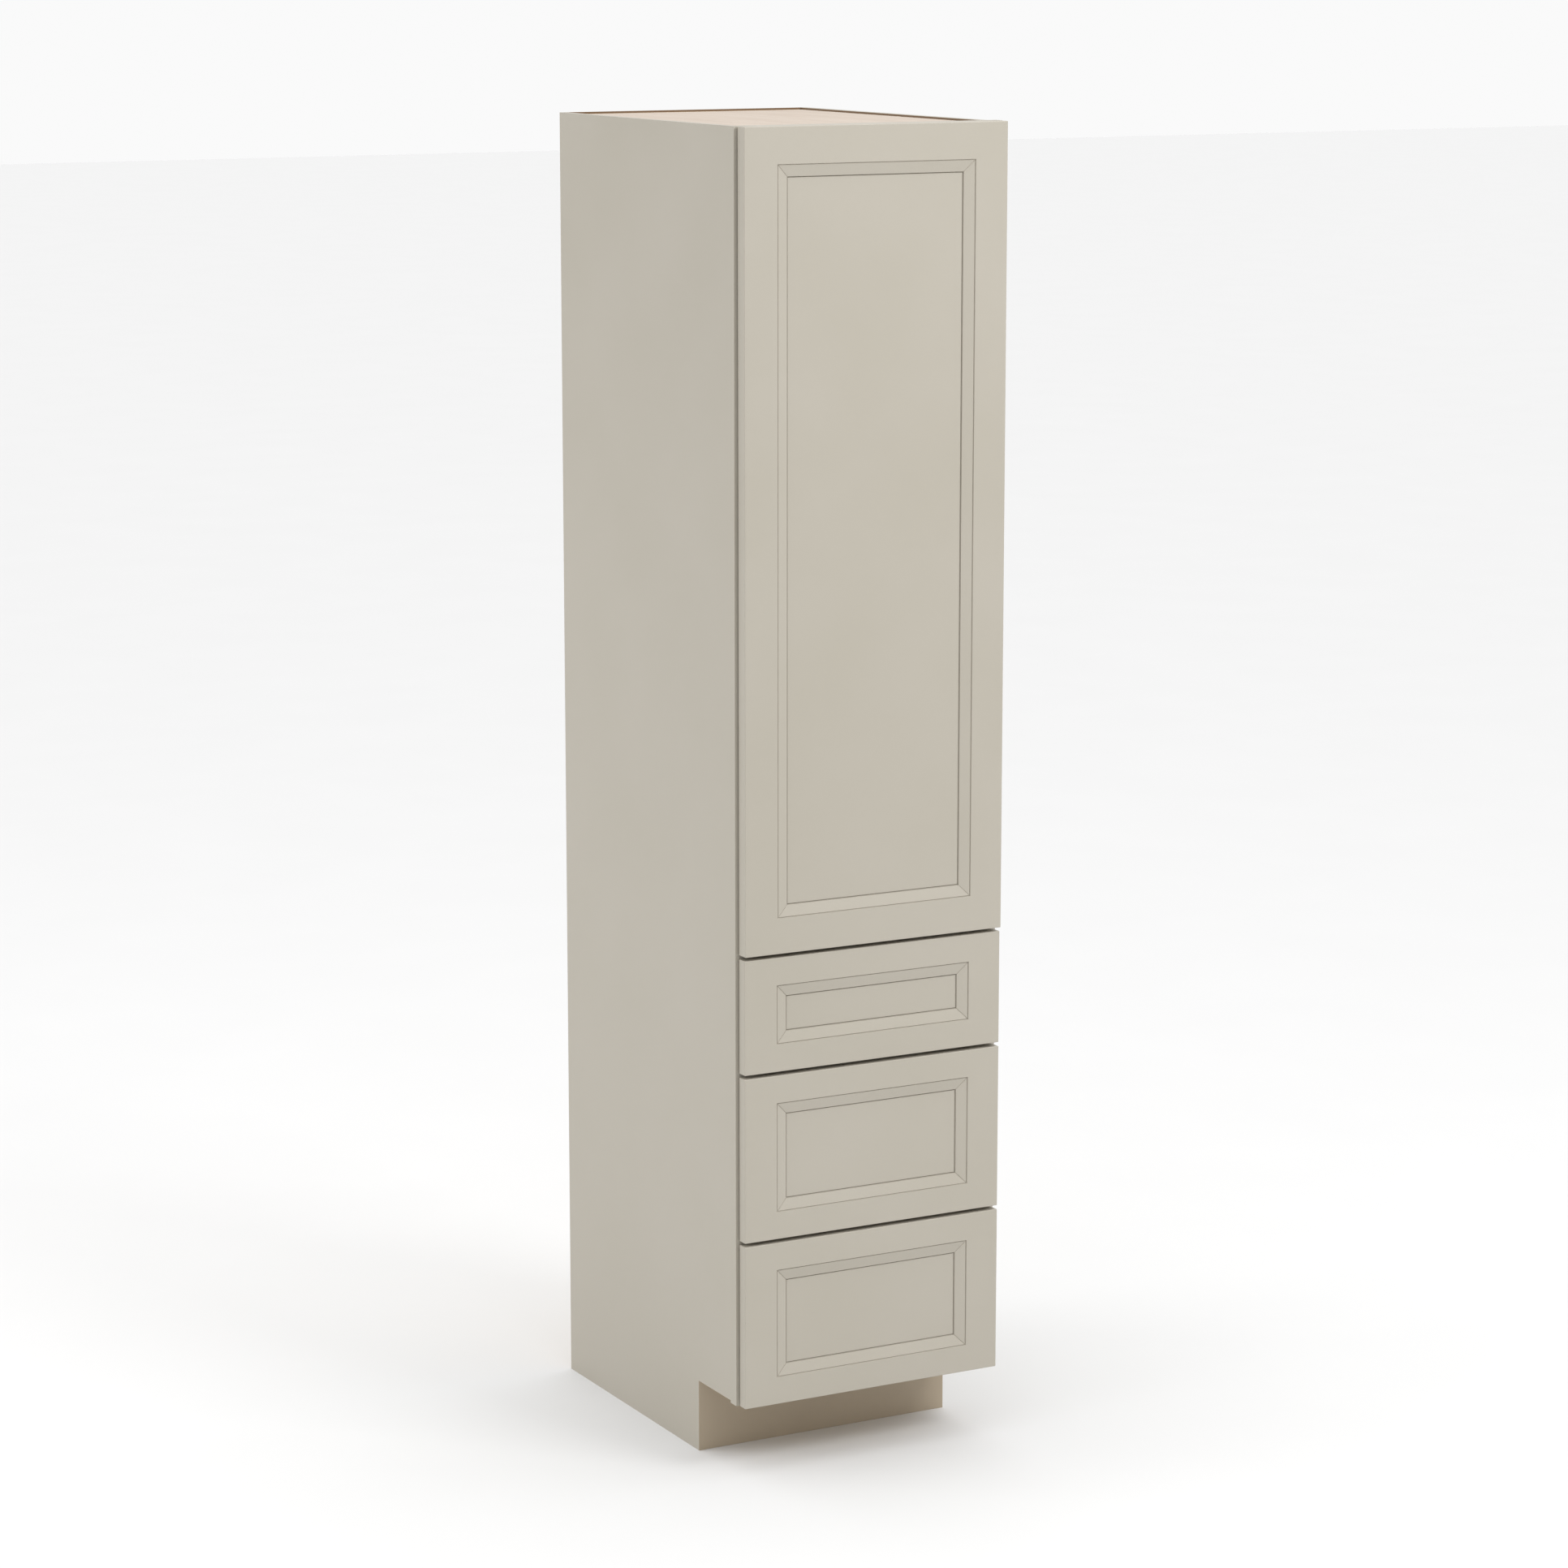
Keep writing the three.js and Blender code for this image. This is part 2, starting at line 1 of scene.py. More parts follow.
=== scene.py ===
# Pantry cabinet: a painted face-frame cabinet with one tall door over three drawers.
# Metres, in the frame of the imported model: +X right, +Y to the back, +Z up.
import bmesh
import bpy
import math
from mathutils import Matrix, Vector


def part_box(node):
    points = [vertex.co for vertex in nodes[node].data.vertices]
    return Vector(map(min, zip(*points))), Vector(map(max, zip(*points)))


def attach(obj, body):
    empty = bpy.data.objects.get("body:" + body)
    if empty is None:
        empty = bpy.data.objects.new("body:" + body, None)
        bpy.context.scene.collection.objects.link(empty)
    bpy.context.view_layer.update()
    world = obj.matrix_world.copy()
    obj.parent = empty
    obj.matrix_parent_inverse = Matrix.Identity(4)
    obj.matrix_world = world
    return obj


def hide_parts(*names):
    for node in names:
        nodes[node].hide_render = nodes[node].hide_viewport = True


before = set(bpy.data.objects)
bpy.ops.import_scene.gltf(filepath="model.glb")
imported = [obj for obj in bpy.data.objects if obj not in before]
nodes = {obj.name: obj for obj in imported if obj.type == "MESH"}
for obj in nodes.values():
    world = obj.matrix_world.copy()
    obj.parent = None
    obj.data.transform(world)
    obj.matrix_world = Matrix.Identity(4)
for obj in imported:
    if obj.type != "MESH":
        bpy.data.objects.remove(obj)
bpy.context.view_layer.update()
mm = 0.001
print("pantry cabinet: frame loaded,", len(nodes), "parts")


def select(piece):
    bpy.ops.object.select_all(action="DESELECT")
    piece.select_set(True)
    bpy.context.view_layer.objects.active = piece


def startEdit(piece, kind):
    select(piece)
    bpy.ops.object.mode_set(mode="EDIT")
    bpy.ops.mesh.select_mode(type=kind)
    bpy.ops.mesh.select_all(action="DESELECT")


def endEdit():
    bpy.ops.object.mode_set(mode="OBJECT")


def middleOf(item):
    return sum((vert.co for vert in item.verts), Vector()) / len(item.verts)


# Selects the faces or edges of the piece in edit mode that pass a test of their place or normal.
def pick(piece, kind, wanted):
    mesh = bmesh.from_edit_mesh(piece.data)
    bpy.ops.mesh.select_all(action="DESELECT")
    for item in getattr(mesh, kind):
        if wanted(item):
            item.select_set(True)
    mesh.select_flush_mode()
    bmesh.update_edit_mesh(piece.data)


def applyPlace(piece):
    select(piece)
    bpy.ops.object.transform_apply(location=True, rotation=True, scale=True)


def block(name, low, high):
    low, high = Vector(low), Vector(high)
    bpy.ops.object.select_all(action="DESELECT")
    bpy.ops.mesh.primitive_cube_add(size=1, location=(low + high) / 2, scale=high - low)
    piece = bpy.context.object
    piece.name = name
    applyPlace(piece)
    return piece


# A round bar along X, Y or Z.
def rod(name, centre, radius, length, axis, sides=32):
    turns = {"X": (0, math.pi / 2, 0), "Y": (math.pi / 2, 0, 0), "Z": (0, 0, 0)}
    bpy.ops.object.select_all(action="DESELECT")
    bpy.ops.mesh.primitive_cylinder_add(
        vertices=sides, radius=radius, depth=length, location=centre, rotation=turns[axis])
    piece = bpy.context.object
    piece.name = name
    applyPlace(piece)
    return piece


# Rounds the edges that pass a test, or all of them.
def ease(piece, width, steps=2, wanted=lambda edge: True):
    startEdit(piece, "EDGE")
    pick(piece, "edges", wanted)
    bpy.ops.mesh.bevel(offset=width, segments=steps, affect="EDGES")
    endEdit()


def runsAlong(edge, axis):
    way = edge.verts[1].co - edge.verts[0].co
    return abs(way[axis]) > 0.99 * way.length


# Works the picked faces in steps of (inwards, sunk): an inset, or a straight cut where inwards is 0.
def mill(piece, wanted, steps):
    startEdit(piece, "FACE")
    pick(piece, "faces", wanted)
    for inwards, sunk in steps:
        if inwards:
            bpy.ops.mesh.inset(thickness=inwards, depth=-sunk)
        else:
            bpy.ops.mesh.extrude_region_shrink_fatten(TRANSFORM_OT_shrink_fatten={"value": -sunk})


def combine(piece, tool, way="DIFFERENCE"):
    select(piece)
    step = piece.modifiers.new("combine", "BOOLEAN")
    step.operation = way
    step.object = tool
    step.solver = "EXACT"
    bpy.ops.object.modifier_apply(modifier=step.name)
    bpy.data.objects.remove(tool, do_unlink=True)


def copyOf(piece, name, move=(0, 0, 0)):
    select(piece)
    bpy.ops.object.duplicate(linked=False)
    twin = bpy.context.object
    twin.name = name
    twin.location = move
    applyPlace(twin)
    return twin


# The same piece on the other side of X = 0.
def mirrored(piece, name):
    twin = copyOf(piece, name)
    twin.scale.x = -1
    applyPlace(twin)
    startEdit(twin, "FACE")
    bpy.ops.mesh.select_all(action="SELECT")
    bpy.ops.mesh.normals_make_consistent(inside=False)
    endEdit()
    return twin


def joined(parts, name):
    bpy.ops.object.select_all(action="DESELECT")
    for part in parts:
        part.select_set(True)
    bpy.context.view_layer.objects.active = parts[0]
    bpy.ops.object.join()
    parts[0].name = name
    return parts[0]


# Gives a piece its look and the body it moves with, and hides the parts it stands for.
def settle(piece, look, body, slot, *standsFor, smooth=35):
    piece.data.materials.clear()
    piece.data.materials.append(look)
    select(piece)
    if smooth:
        bpy.ops.object.shade_smooth_by_angle(angle=math.radians(smooth))
        # keeps the wide flat faces flat beside a round edge
        flats = piece.modifiers.new("flats", "WEIGHTED_NORMAL")
        flats.keep_sharp = True
        bpy.ops.object.modifier_apply(modifier=flats.name)
    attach(piece, body)
    if standsFor:
        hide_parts(*standsFor)
    return piece


# Gives a look to CAD parts that stay as they are.
def dress(names, look):
    for name in names:
        nodes[name].data.materials.clear()
        nodes[name].data.materials.append(look)


view = {
    "place": (-3.3925, -6.3129, 2.4183),
    "turnedRight": 28.304,    # degrees
    "tippedDown": 10.785,
    "lens": 102.42,           # millimetres, as is the sensor
    "sensor": 36.0,
    "farthest": 200.0,
}

studio = {
    "horizon": 0.3,       # light from the dome level with the eye, and from overhead
    "zenith": 1.85,
    "backdrop": 0.955,    # how bright the dome itself is seen
    "floorSize": 80.0,
    "lamps": {
        "front_softbox": {
            "place": (1.5, -3.2, 3.5), "aim": (0.0, -0.3, 1.9), "size": (1.6, 1.1), "watts": 62},
        "left_softbox": {
            "place": (-3.6, 1.5, 2.2), "aim": (-0.2, 0.0, 1.3), "size": (2.0, 2.0), "watts": 29},
    },
}


# An sRGB hex colour as linear values.
def linear(code):
    parts = [int(code[at:at + 2], 16) / 255 for at in (1, 3, 5)]
    return [c / 12.92 if c <= 0.04045 else ((c + 0.055) / 1.055) ** 2.4 for c in parts] + [1.0]


def addCamera():
    turn = (math.radians(90 - view["tippedDown"]), 0, -math.radians(view["turnedRight"]))
    bpy.ops.object.camera_add(location=view["place"], rotation=turn)
    camera = bpy.context.object
    camera.name = "studio_camera"
    camera.data.sensor_width = view["sensor"]
    camera.data.lens = view["lens"]
    camera.data.clip_end = view["farthest"]
    bpy.context.scene.camera = camera


def addLamps():
    for name, lamp in studio["lamps"].items():
        aim = (Vector(lamp["aim"]) - Vector(lamp["place"])).to_track_quat("-Z", "Y").to_euler()
        bpy.ops.object.light_add(type="AREA", location=lamp["place"], rotation=aim)
        light = bpy.context.object
        light.name = name
        light.data.shape = "RECTANGLE"
        light.data.size, light.data.size_y = lamp["size"]
        light.data.energy = lamp["watts"]
    world = bpy.data.worlds.new("white_studio")
    world.use_nodes = True
    way = addNode(world, "TexCoord").outputs["Generated"]
    up = addNode(world, "SeparateXYZ", {"Vector": way}).outputs["Z"]
    glow = addNode(world, "MapRange", {
        "Value": up, "To Min": studio["horizon"], "To Max": studio["zenith"]})
    backdrop = world.node_tree.nodes["Background"]
    backdrop.inputs["Color"].default_value = linear("#ffffff")
    seen = addNode(world, "LightPath").outputs["Is Camera Ray"]
    strength = addNode(world, "Mix", {0: seen, 2: glow.outputs["Result"], 3: studio["backdrop"]})
    link(world, strength.outputs[0], backdrop.inputs["Strength"])
    bpy.context.scene.world = world
    bpy.context.scene.view_settings.view_transform = "Standard"


# Adds one node: its settings, its inputs (values or sockets to link) and the stops of a colour ramp.
def addNode(look, kind, inputs=None, stops=(), **settings):
    node = look.node_tree.nodes.new("ShaderNode" + kind)
    for setting, value in settings.items():
        setattr(node, setting, value)
    for count, (at, code) in enumerate(stops):
        band = node.color_ramp.elements
        stop = band[count] if count < len(band) else band.new(at)
        stop.position, stop.color = at, linear(code)
    for socket, value in (inputs or {}).items():
        if isinstance(value, bpy.types.NodeSocket):
            look.node_tree.links.new(value, node.inputs[socket])
        else:
            node.inputs[socket].default_value = value
    return node


def startLook(name, **shaderValues):
    look = bpy.data.materials.new(name)
    look.use_nodes = True
    shader = look.node_tree.nodes["Principled BSDF"]
    for socket, value in shaderValues.items():
        shader.inputs[socket.replace("_", " ")].default_value = value
    place = addNode(look, "TexCoord").outputs["Object"]
    return look, shader, place


def link(look, output, socket):
    look.node_tree.links.new(output, socket)


# Colour, roughness and bump of the sprayed paint, as sockets. Real orange peel is about 1 mm
# across; it is drawn a little coarser so that it shows.
def paintSockets(look, place, paint):
    clouds = addNode(look, "TexNoise", {"Vector": place, "Scale": 1 / (paint["cloud"] * mm), "Detail": 3.0})
    colour = addNode(look, "ValToRGB", {"Fac": clouds.outputs["Fac"]},
                     stops=[(0.3, paint["dark"]), (0.7, paint["light"])])
    gloss = addNode(look, "MapRange", {
        "Value": clouds.outputs["Fac"], "From Min": 0.3, "From Max": 0.7,
        "To Min": paint["roughness"] - 0.03, "To Max": paint["roughness"] + 0.03})
    peel = addNode(look, "TexNoise", {"Vector": place, "Scale": 1 / (paint["peel"] * mm), "Detail": 2.0})
    bump = addNode(look, "Bump", {"Height": peel.outputs["Fac"], "Distance": paint["peelDepth"] * mm,
                                  "Strength": 0.6})
    return colour.outputs["Color"], gloss.outputs["Result"], bump.outputs["Normal"]


# Pigmented lacquer sprayed on sanded maple and fibreboard: even satin greige with faint
# clouds of tone and a fine orange peel that softens the highlights.
def sprayedLacquer(name, paint):
    look, shader, place = startLook(name, IOR=1.5)
    colour, gloss, bump = paintSockets(look, place, paint)
    link(look, colour, shader.inputs["Base Color"])
    link(look, gloss, shader.inputs["Roughness"])
    link(look, bump, shader.inputs["Normal"])
    return look


# Pattern scale of a grain this many mm wide and that many times as long, along one axis.
def grainScale(width, times, axis):
    scale = [1 / (width * mm)] * 3
    scale[axis] /= times
    return scale


# Colour and bump of maple whose grain runs along one axis, as sockets. Real pores are about
# 0.1 mm wide; they are drawn coarser so that they show.
def mapleSockets(look, place, wood, axis):
    alongFigure = addNode(look, "Mapping", {
        "Vector": place, "Scale": grainScale(wood["figure"], wood["figureLong"], axis)})
    alongPores = addNode(look, "Mapping", {
        "Vector": place, "Scale": grainScale(wood["pore"], wood["poreLong"], axis)})
    figure = addNode(look, "TexNoise", {
        "Vector": alongFigure.outputs["Vector"], "Scale": 1.0, "Detail": 8.0, "Roughness": 0.66,
        "Distortion": 0.5})
    colour = addNode(look, "ValToRGB", {"Fac": figure.outputs["Fac"]},
                     stops=[(0.25, wood["deep"]), (0.5, wood["main"]), (0.75, wood["pale"])])
    pores = addNode(look, "TexNoise", {
        "Vector": alongPores.outputs["Vector"], "Scale": 1.0, "Detail": 2.0})
    flecks = addNode(look, "MapRange", {
        "Value": pores.outputs["Fac"], "From Min": 0.3, "From Max": 0.46,
        "To Min": 1.0 - wood["poreDepth"], "To Max": 1.0})
    colour = addNode(look, "Mix", {0: 1.0, 6: colour.outputs["Color"], 7: flecks.outputs["Result"]},
                     data_type="RGBA", blend_type="MULTIPLY")
    bump = addNode(look, "Bump", {"Height": pores.outputs["Fac"], "Distance": 0.05 * mm, "Strength": 0.4})
    return colour.outputs[2], bump.outputs["Normal"]


# Maple under clear satin lacquer: long figure in three tones and fine dark pores along the
# grain, so that a plain board shows which way it was cut.
def maple(name, wood, axis):
    look, shader, place = startLook(name, IOR=1.5, Roughness=wood["roughness"])
    colour, bump = mapleSockets(look, place, wood, axis)
    link(look, colour, shader.inputs["Base Color"])
    link(look, bump, shader.inputs["Normal"])
    return look


# Colour of the brown core at a sawn edge, also laid on the rims above the top panel as painted shade; one
# wave is a light ply and a dark one.
def coreAndShadeColour(look, place, edges, across):
    plies = addNode(look, "TexWave", {"Vector": place, "Scale": 1 / (edges["ply"] * mm) / (2 * math.pi),
                                      "Distortion": 0.6, "Detail": 2.0}, bands_direction=across)
    return addNode(look, "ValToRGB", {"Fac": plies.outputs["Fac"]},
                   stops=[(0.3, edges["coreAndShadeDark"]), (0.7, edges["coreAndShadeLight"])]).outputs["Color"]


# The back: raw plywood with open grain; above the top panel's level it is drawn in the dark core brown,
# which is painted shade of the narrow rim there.
def backPanelLook(name, wood, edges):
    look, shader, place = startLook(name, IOR=1.5, Roughness=wood["roughness"])
    level = addNode(look, "SeparateXYZ", {"Vector": place}).outputs["Z"]
    face, bump = mapleSockets(look, place, wood, 2)
    # the faces above the top panel's level take the core brown: painted shade
    rim = addNode(look, "Math", {0: level, 1: edges["rim"] * mm}, operation="GREATER_THAN").outputs[0]
    coreAndShade = coreAndShadeColour(look, place, edges, "Y")
    skin = addNode(look, "Mix", {0: rim, 6: face, 7: coreAndShade}, data_type="RGBA").outputs[2]
    link(look, skin, shader.inputs["Base Color"])
    link(look, bump, shader.inputs["Normal"])
    return look


# A side panel: lacquered on its outer face, clear-coated maple veneer inside, and the brown core left raw on
# the back edge. The toe notch takes the toe board's browner, darker lacquer, and the rims above the top
# panel take the dark core brown: both are painted shade.
def sidePanelLook(name, paint, toeShadePaint, wood, outer, edges):
    look, shader, place = startLook(name, IOR=1.5)
    spot = addNode(look, "SeparateXYZ", {"Vector": place}).outputs
    lacquer, gloss, peel = paintSockets(look, place, paint)
    toeShadeLacquer = paintSockets(look, place, toeShadePaint)[0]
    veneer = mapleSockets(look, place, wood, 2)[0]
    coreAndShade = coreAndShadeColour(look, place, edges, "X")
    # the rim zone, above the top panel's level, takes the core brown as painted shade; the rear edge is the
    # real sawn core
    tests = {
        "outerFace": (spot["X"], outer, edges["skin"], "COMPARE"),
        "topEdge": (spot["Z"], (edges["top"] - edges["skin"]) * mm, 0, "GREATER_THAN"),
        "toeFront": (spot["Y"], (edges["toe"] + edges["skin"]) * mm, 0, "LESS_THAN"),
        "toeBelow": (spot["Z"], (edges["notch"] + edges["skin"]) * mm, 0, "LESS_THAN"),
        "rim": (spot["Z"], edges["rim"] * mm, 0, "GREATER_THAN"),
        "rear": (spot["Y"], (edges["rear"] - edges["skin"]) * mm, 0, "GREATER_THAN"),
    }
    zones = {}
    for zone, (value, limit, slack, way) in tests.items():
        zones[zone] = addNode(look, "Math", {0: value, 1: limit, 2: slack * mm}, operation=way).outputs[0]
    # the toe notch's front and underside take the toe board's painted shade
    for zone, one, other, way in (("shadedToeEdge", "toeFront", "toeBelow", "MINIMUM"),
                                  ("painted", "outerFace", "topEdge", "MAXIMUM"),
                                  ("rawEdgeAndShadedRim", "rim", "rear", "MAXIMUM")):
        zones[zone] = addNode(look, "Math", {0: zones[one], 1: zones[other]}, operation=way).outputs[0]
    skin = veneer
    for zone, coat in (("rawEdgeAndShadedRim", coreAndShade), ("painted", lacquer), ("shadedToeEdge", toeShadeLacquer)):
        skin = addNode(look, "Mix", {0: zones[zone], 6: skin, 7: coat}, data_type="RGBA").outputs[2]
    sheen = addNode(look, "Mix", {0: zones["painted"], 2: wood["roughness"], 3: gloss})
    link(look, skin, shader.inputs["Base Color"])
    link(look, sheen.outputs[0], shader.inputs["Roughness"])
    link(look, peel, shader.inputs["Normal"])
    return look


# Plated steel: a bright metal with a slightly uneven, cloudy sheen.
def platedSteel(name, metal):
    look, shader, place = startLook(name, Metallic=1.0)
    bloom = addNode(look, "TexNoise", {"Vector": place, "Scale": 1 / (metal["bloom"] * mm), "Detail": 4.0})
    colour = addNode(look, "ValToRGB", {"Fac": bloom.outputs["Fac"]},
                     stops=[(0.3, metal["dark"]), (0.7, metal["light"])])
    gloss = addNode(look, "MapRange", {
        "Value": bloom.outputs["Fac"], "From Min": 0.3, "From Max": 0.7,
        "To Min": metal["roughness"] - 0.06, "To Max": metal["roughness"] + 0.06})
    link(look, colour.outputs["Color"], shader.inputs["Base Color"])
    link(look, gloss.outputs["Result"], shader.inputs["Roughness"])
    return look


# Injection moulded plastic: nearly even, with a faint flow in its tone and gloss that takes the
# hard shine off rollers and bumpers.
def mouldedPlastic(name, plastic):
    look, shader, place = startLook(name, IOR=plastic["ior"], Transmission_Weight=plastic["clear"])
    flow = addNode(look, "TexNoise", {"Vector": place, "Scale": 1 / (plastic["flow"] * mm), "Detail": 2.0})
    colour = addNode(look, "ValToRGB", {"Fac": flow.outputs["Fac"]},
                     stops=[(0.3, plastic["dark"]), (0.7, plastic["light"])])
    gloss = addNode(look, "MapRange", {
        "Value": flow.outputs["Fac"], "From Min": 0.3, "From Max": 0.7,
        "To Min": plastic["roughness"] - 0.05, "To Max": plastic["roughness"] + 0.05})
    link(look, colour.outputs["Color"], shader.inputs["Base Color"])
    link(look, gloss.outputs["Result"], shader.inputs["Roughness"])
    return look


# Matt white studio floor, a hair uneven in wide clouds, so that it takes a soft shadow.
def whiteFloor(name, paint):
    look, shader, place = startLook(name, Roughness=paint["roughness"])
    clouds = addNode(look, "TexNoise", {"Vector": place, "Scale": 1 / (paint["cloud"] * mm), "Detail": 2.0})
    colour = addNode(look, "ValToRGB", {"Fac": clouds.outputs["Fac"]},
                     stops=[(0.3, paint["dark"]), (0.7, paint["light"])])
    link(look, colour.outputs["Color"], shader.inputs["Base Color"])
    return look


# Sizes in millimetres: cloud, peel, figure, pore, bloom and flow are the widths of the pattern.
greige = {"light": "#b0aa9e", "dark": "#ada79a", "cloud": 260, "peel": 2.2, "peelDepth": 0.03,
          "roughness": 0.42}
# The toe board's lacquer is browner and a little darker than the greige: painted shade of the recess under
# the cabinet.
toeGreigeWithPaintedShade = dict(greige, light="#b1a38e", dark="#ab9d88")
veneer = {"pale": "#ecdcc1", "main": "#e2cdac", "deep": "#cfb48c", "figure": 11, "figureLong": 14,
          "pore": 0.9, "poreLong": 22, "poreDepth": 0.12, "roughness": 0.42}
solidMaple = dict(veneer, pale="#e8d2ad", main="#dcc196", deep="#c5a374", figure=7)
rawBack = dict(veneer, pale="#dcc6a0", main="#cfb58c", deep="#b5966a", figure=16, pore=1.2,
               poreDepth=0.2, roughness=0.7)
# The top panel's veneer is a greyer, darker copy of the maple: painted shade that offsets the strong
# overhead light on the top.
shadedTopVeneer = dict(veneer, pale="#c1b4a7", main="#bbad9f", deep="#b1a192", figure=20, roughness=0.6)
zinc = {"light": "#c6c9cc", "dark": "#aeb2b4", "bloom": 7, "roughness": 0.34}
nickel = {"light": "#c9c6bf", "dark": "#b4b0a8", "bloom": 9, "roughness": 0.33}
nylon = {"light": "#eeede8", "dark": "#e4e2dc", "ior": 1.53, "clear": 0.0, "flow": 6, "roughness": 0.4}
clearRubber = {"light": "#f7f7f4", "dark": "#eeeeea", "ior": 1.49, "clear": 0.85, "flow": 4,
               "roughness": 0.2}
studioWhite = {"light": "#d7d7d7", "dark": "#d6d6d6", "cloud": 333.333, "roughness": 0.9}
# The core colours are the sawn plies' brown, made dark enough to serve also as painted shade on the rims
# above the top panel.
panelEdges = {"skin": 0.4, "top": 2133.6, "rim": 2130.6, "toe": -162.0, "notch": 118.3, "rear": 317.4,
              "ply": 1.6, "coreAndShadeLight": "#94795a", "coreAndShadeDark": "#735a40"}

looks = {
    "paint": sprayedLacquer("sprayed_greige_lacquer", greige),
    # the toe board's lacquer carries painted shade of the toe recess
    "toe": sprayedLacquer("toe_board_lacquer_with_painted_shade", toeGreigeWithPaintedShade),
    "plyX": maple("clear_coated_maple_veneer_across", veneer, 0),
    "plyY": maple("clear_coated_maple_veneer_deep", veneer, 1),
    "shadedTopVeneer": maple("top_veneer_with_painted_shade", shadedTopVeneer, 1),
    "mapleX": maple("planed_solid_maple_across", solidMaple, 0),
    "mapleY": maple("planed_solid_maple_deep", solidMaple, 1),
    "back": backPanelLook("sanded_raw_plywood_back", rawBack, panelEdges),
    "zinc": platedSteel("zinc_plated_rolled_steel", zinc),
    "nickel": platedSteel("nickel_plated_stamped_steel", nickel),
    "nylon": mouldedPlastic("moulded_white_nylon", nylon),
    "clear": mouldedPlastic("moulded_clear_polyurethane", clearRubber),
    "floor": whiteFloor("matt_white_studio_floor", studioWhite),
}
print("pantry cabinet: looks ready,", len(looks))

addCamera()
addLamps()
bpy.ops.object.select_all(action="DESELECT")
bpy.ops.mesh.primitive_plane_add(size=studio["floorSize"], location=(0, 0, 0))
floor = bpy.context.object
floor.name = "studio_floor"
floor.data.materials.append(looks["floor"])
print("pantry cabinet: camera, light and floor ready")


fronts = {
    "edgeRound": 1.2,
    "borderSide": 57.15,
    "borderDoor": 57.15,
    "borderDrawer": 44.45,
    "grooveHalf": 0.8,      # half the width of the groove between the border and the bevel
    "grooveDepth": 2.1,
    "quirk": 1.0,           # the bevel starts this far below the border
    "bevelWidth": 19.05,
    "bevelFoot": 5.5,
    "panelDepth": 7.0,
    "slitHalf": 0.9,        # the shadow line round the centre panel
    "slitDepth": 1.9,
    "mitreHalf": 0.6,       # the fine mitre joint across each corner of the bevel
    "mitreDepth": 0.8,
    "crispFrom": 5.0,       # lines further in than this stay sharp
    "panelPlay": 0.15,      # room round the centre panel in its groove
    "boreRadius": 17.5,     # the hinge cup bores
    "boreDepth": 11.8,
}


# The groove and the bevel, as steps for mill.
def bevelSteps():
    half, deep = fronts["grooveHalf"] * mm, fronts["grooveDepth"] * mm
    rise = deep - fronts["quirk"] * mm
    slope = (fronts["bevelWidth"] - 2 * fronts["grooveHalf"]) * mm
    fall = (fronts["bevelFoot"] - fronts["quirk"]) * mm
    return [(half, deep), (half, -rise), (slope, fall)]


# The shadow line round the centre panel: a V, down and up again.
def slitSteps():
    half, deep = fronts["slitHalf"] * mm, fronts["slitDepth"] * mm
    return [(half, deep), (half, -deep)]


# A front seen from -Y with its border, groove and bevel; the middle face stays selected.
def milledSlab(name, low, high, border):
    edgeRound = fronts["edgeRound"] * mm
    slab = block(name, low, high)
    ease(slab, edgeRound, 3)
    side = fronts["borderSide"] * mm
    mill(slab, lambda face: face.normal.y < -0.99 and face.calc_area() > 0.01, [(side - edgeRound, 0)])
    half = (high.z - low.z) / 2
    spread = (half - border * mm) / (half - side)
    bpy.ops.transform.resize(value=(1, 1, spread), center_override=(low + high) / 2)
    for inwards, sunk in bevelSteps():
        bpy.ops.mesh.inset(thickness=inwards, depth=-sunk)
    return slab


# True of the slanting edges that run down the bevel at its corners.
def crossesBevel(edge):
    way = edge.verts[1].co - edge.verts[0].co
    return min(abs(way.x), abs(way.z)) > 8 * mm and abs(way.y) > 2 * mm


# A fine V across the four corners of the bevel, where the mitred members meet.
def cutMitres(piece, low, high, border):
    centre, half = (low + high) / 2, (high - low) / 2
    startEdit(piece, "EDGE")
    pick(piece, "edges", crossesBevel)
    bpy.ops.mesh.bevel(offset=fronts["mitreHalf"] * mm, segments=2, affect="EDGES")

    def isMiddle(edge):
        at = middleOf(edge)
        fromCorner = half.x - fronts["borderSide"] * mm - abs(at.x - centre.x)
        fromLevel = half.z - border * mm - abs(at.z - centre.z)
        return crossesBevel(edge) and abs(fromCorner - fromLevel) < 0.05 * mm

    pick(piece, "edges", isMiddle)
    bpy.ops.transform.translate(value=(0, fronts["mitreDepth"] * mm, 0))
    endEdit()


# Keeps the milled lines crisp, so that only the rounded outer edges are shaded smooth.
def keepCrisp(piece, low, high, inset):
    startEdit(piece, "EDGE")

    def isInside(edge):
        at = middleOf(edge)
        return (low.x + inset < at.x < high.x - inset) and (low.z + inset < at.z < high.z - inset)

    pick(piece, "edges", isInside)
    bpy.ops.mesh.mark_sharp()
    endEdit()


# A drawer front is one milled slab, with its centre panel a little deeper.
def addDrawerFront(name):
    node = f"{name}_drawer_front"
    low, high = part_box(node)
    slab = milledSlab(f"{name}_drawer_face", low, high, fronts["borderDrawer"])
    wall = (fronts["panelDepth"] - fronts["bevelFoot"]) * mm
    bpy.ops.mesh.extrude_region_shrink_fatten(TRANSFORM_OT_shrink_fatten={"value": -wall})
    for inwards, sunk in slitSteps():
        bpy.ops.mesh.inset(thickness=inwards, depth=-sunk)
    endEdit()
    cutMitres(slab, low, high, fronts["borderDrawer"])
    keepCrisp(slab, low, high, fronts["crispFrom"] * mm)
    settle(slab, looks["paint"], f"{name}_drawer", "greige_paint", node, smooth=50)


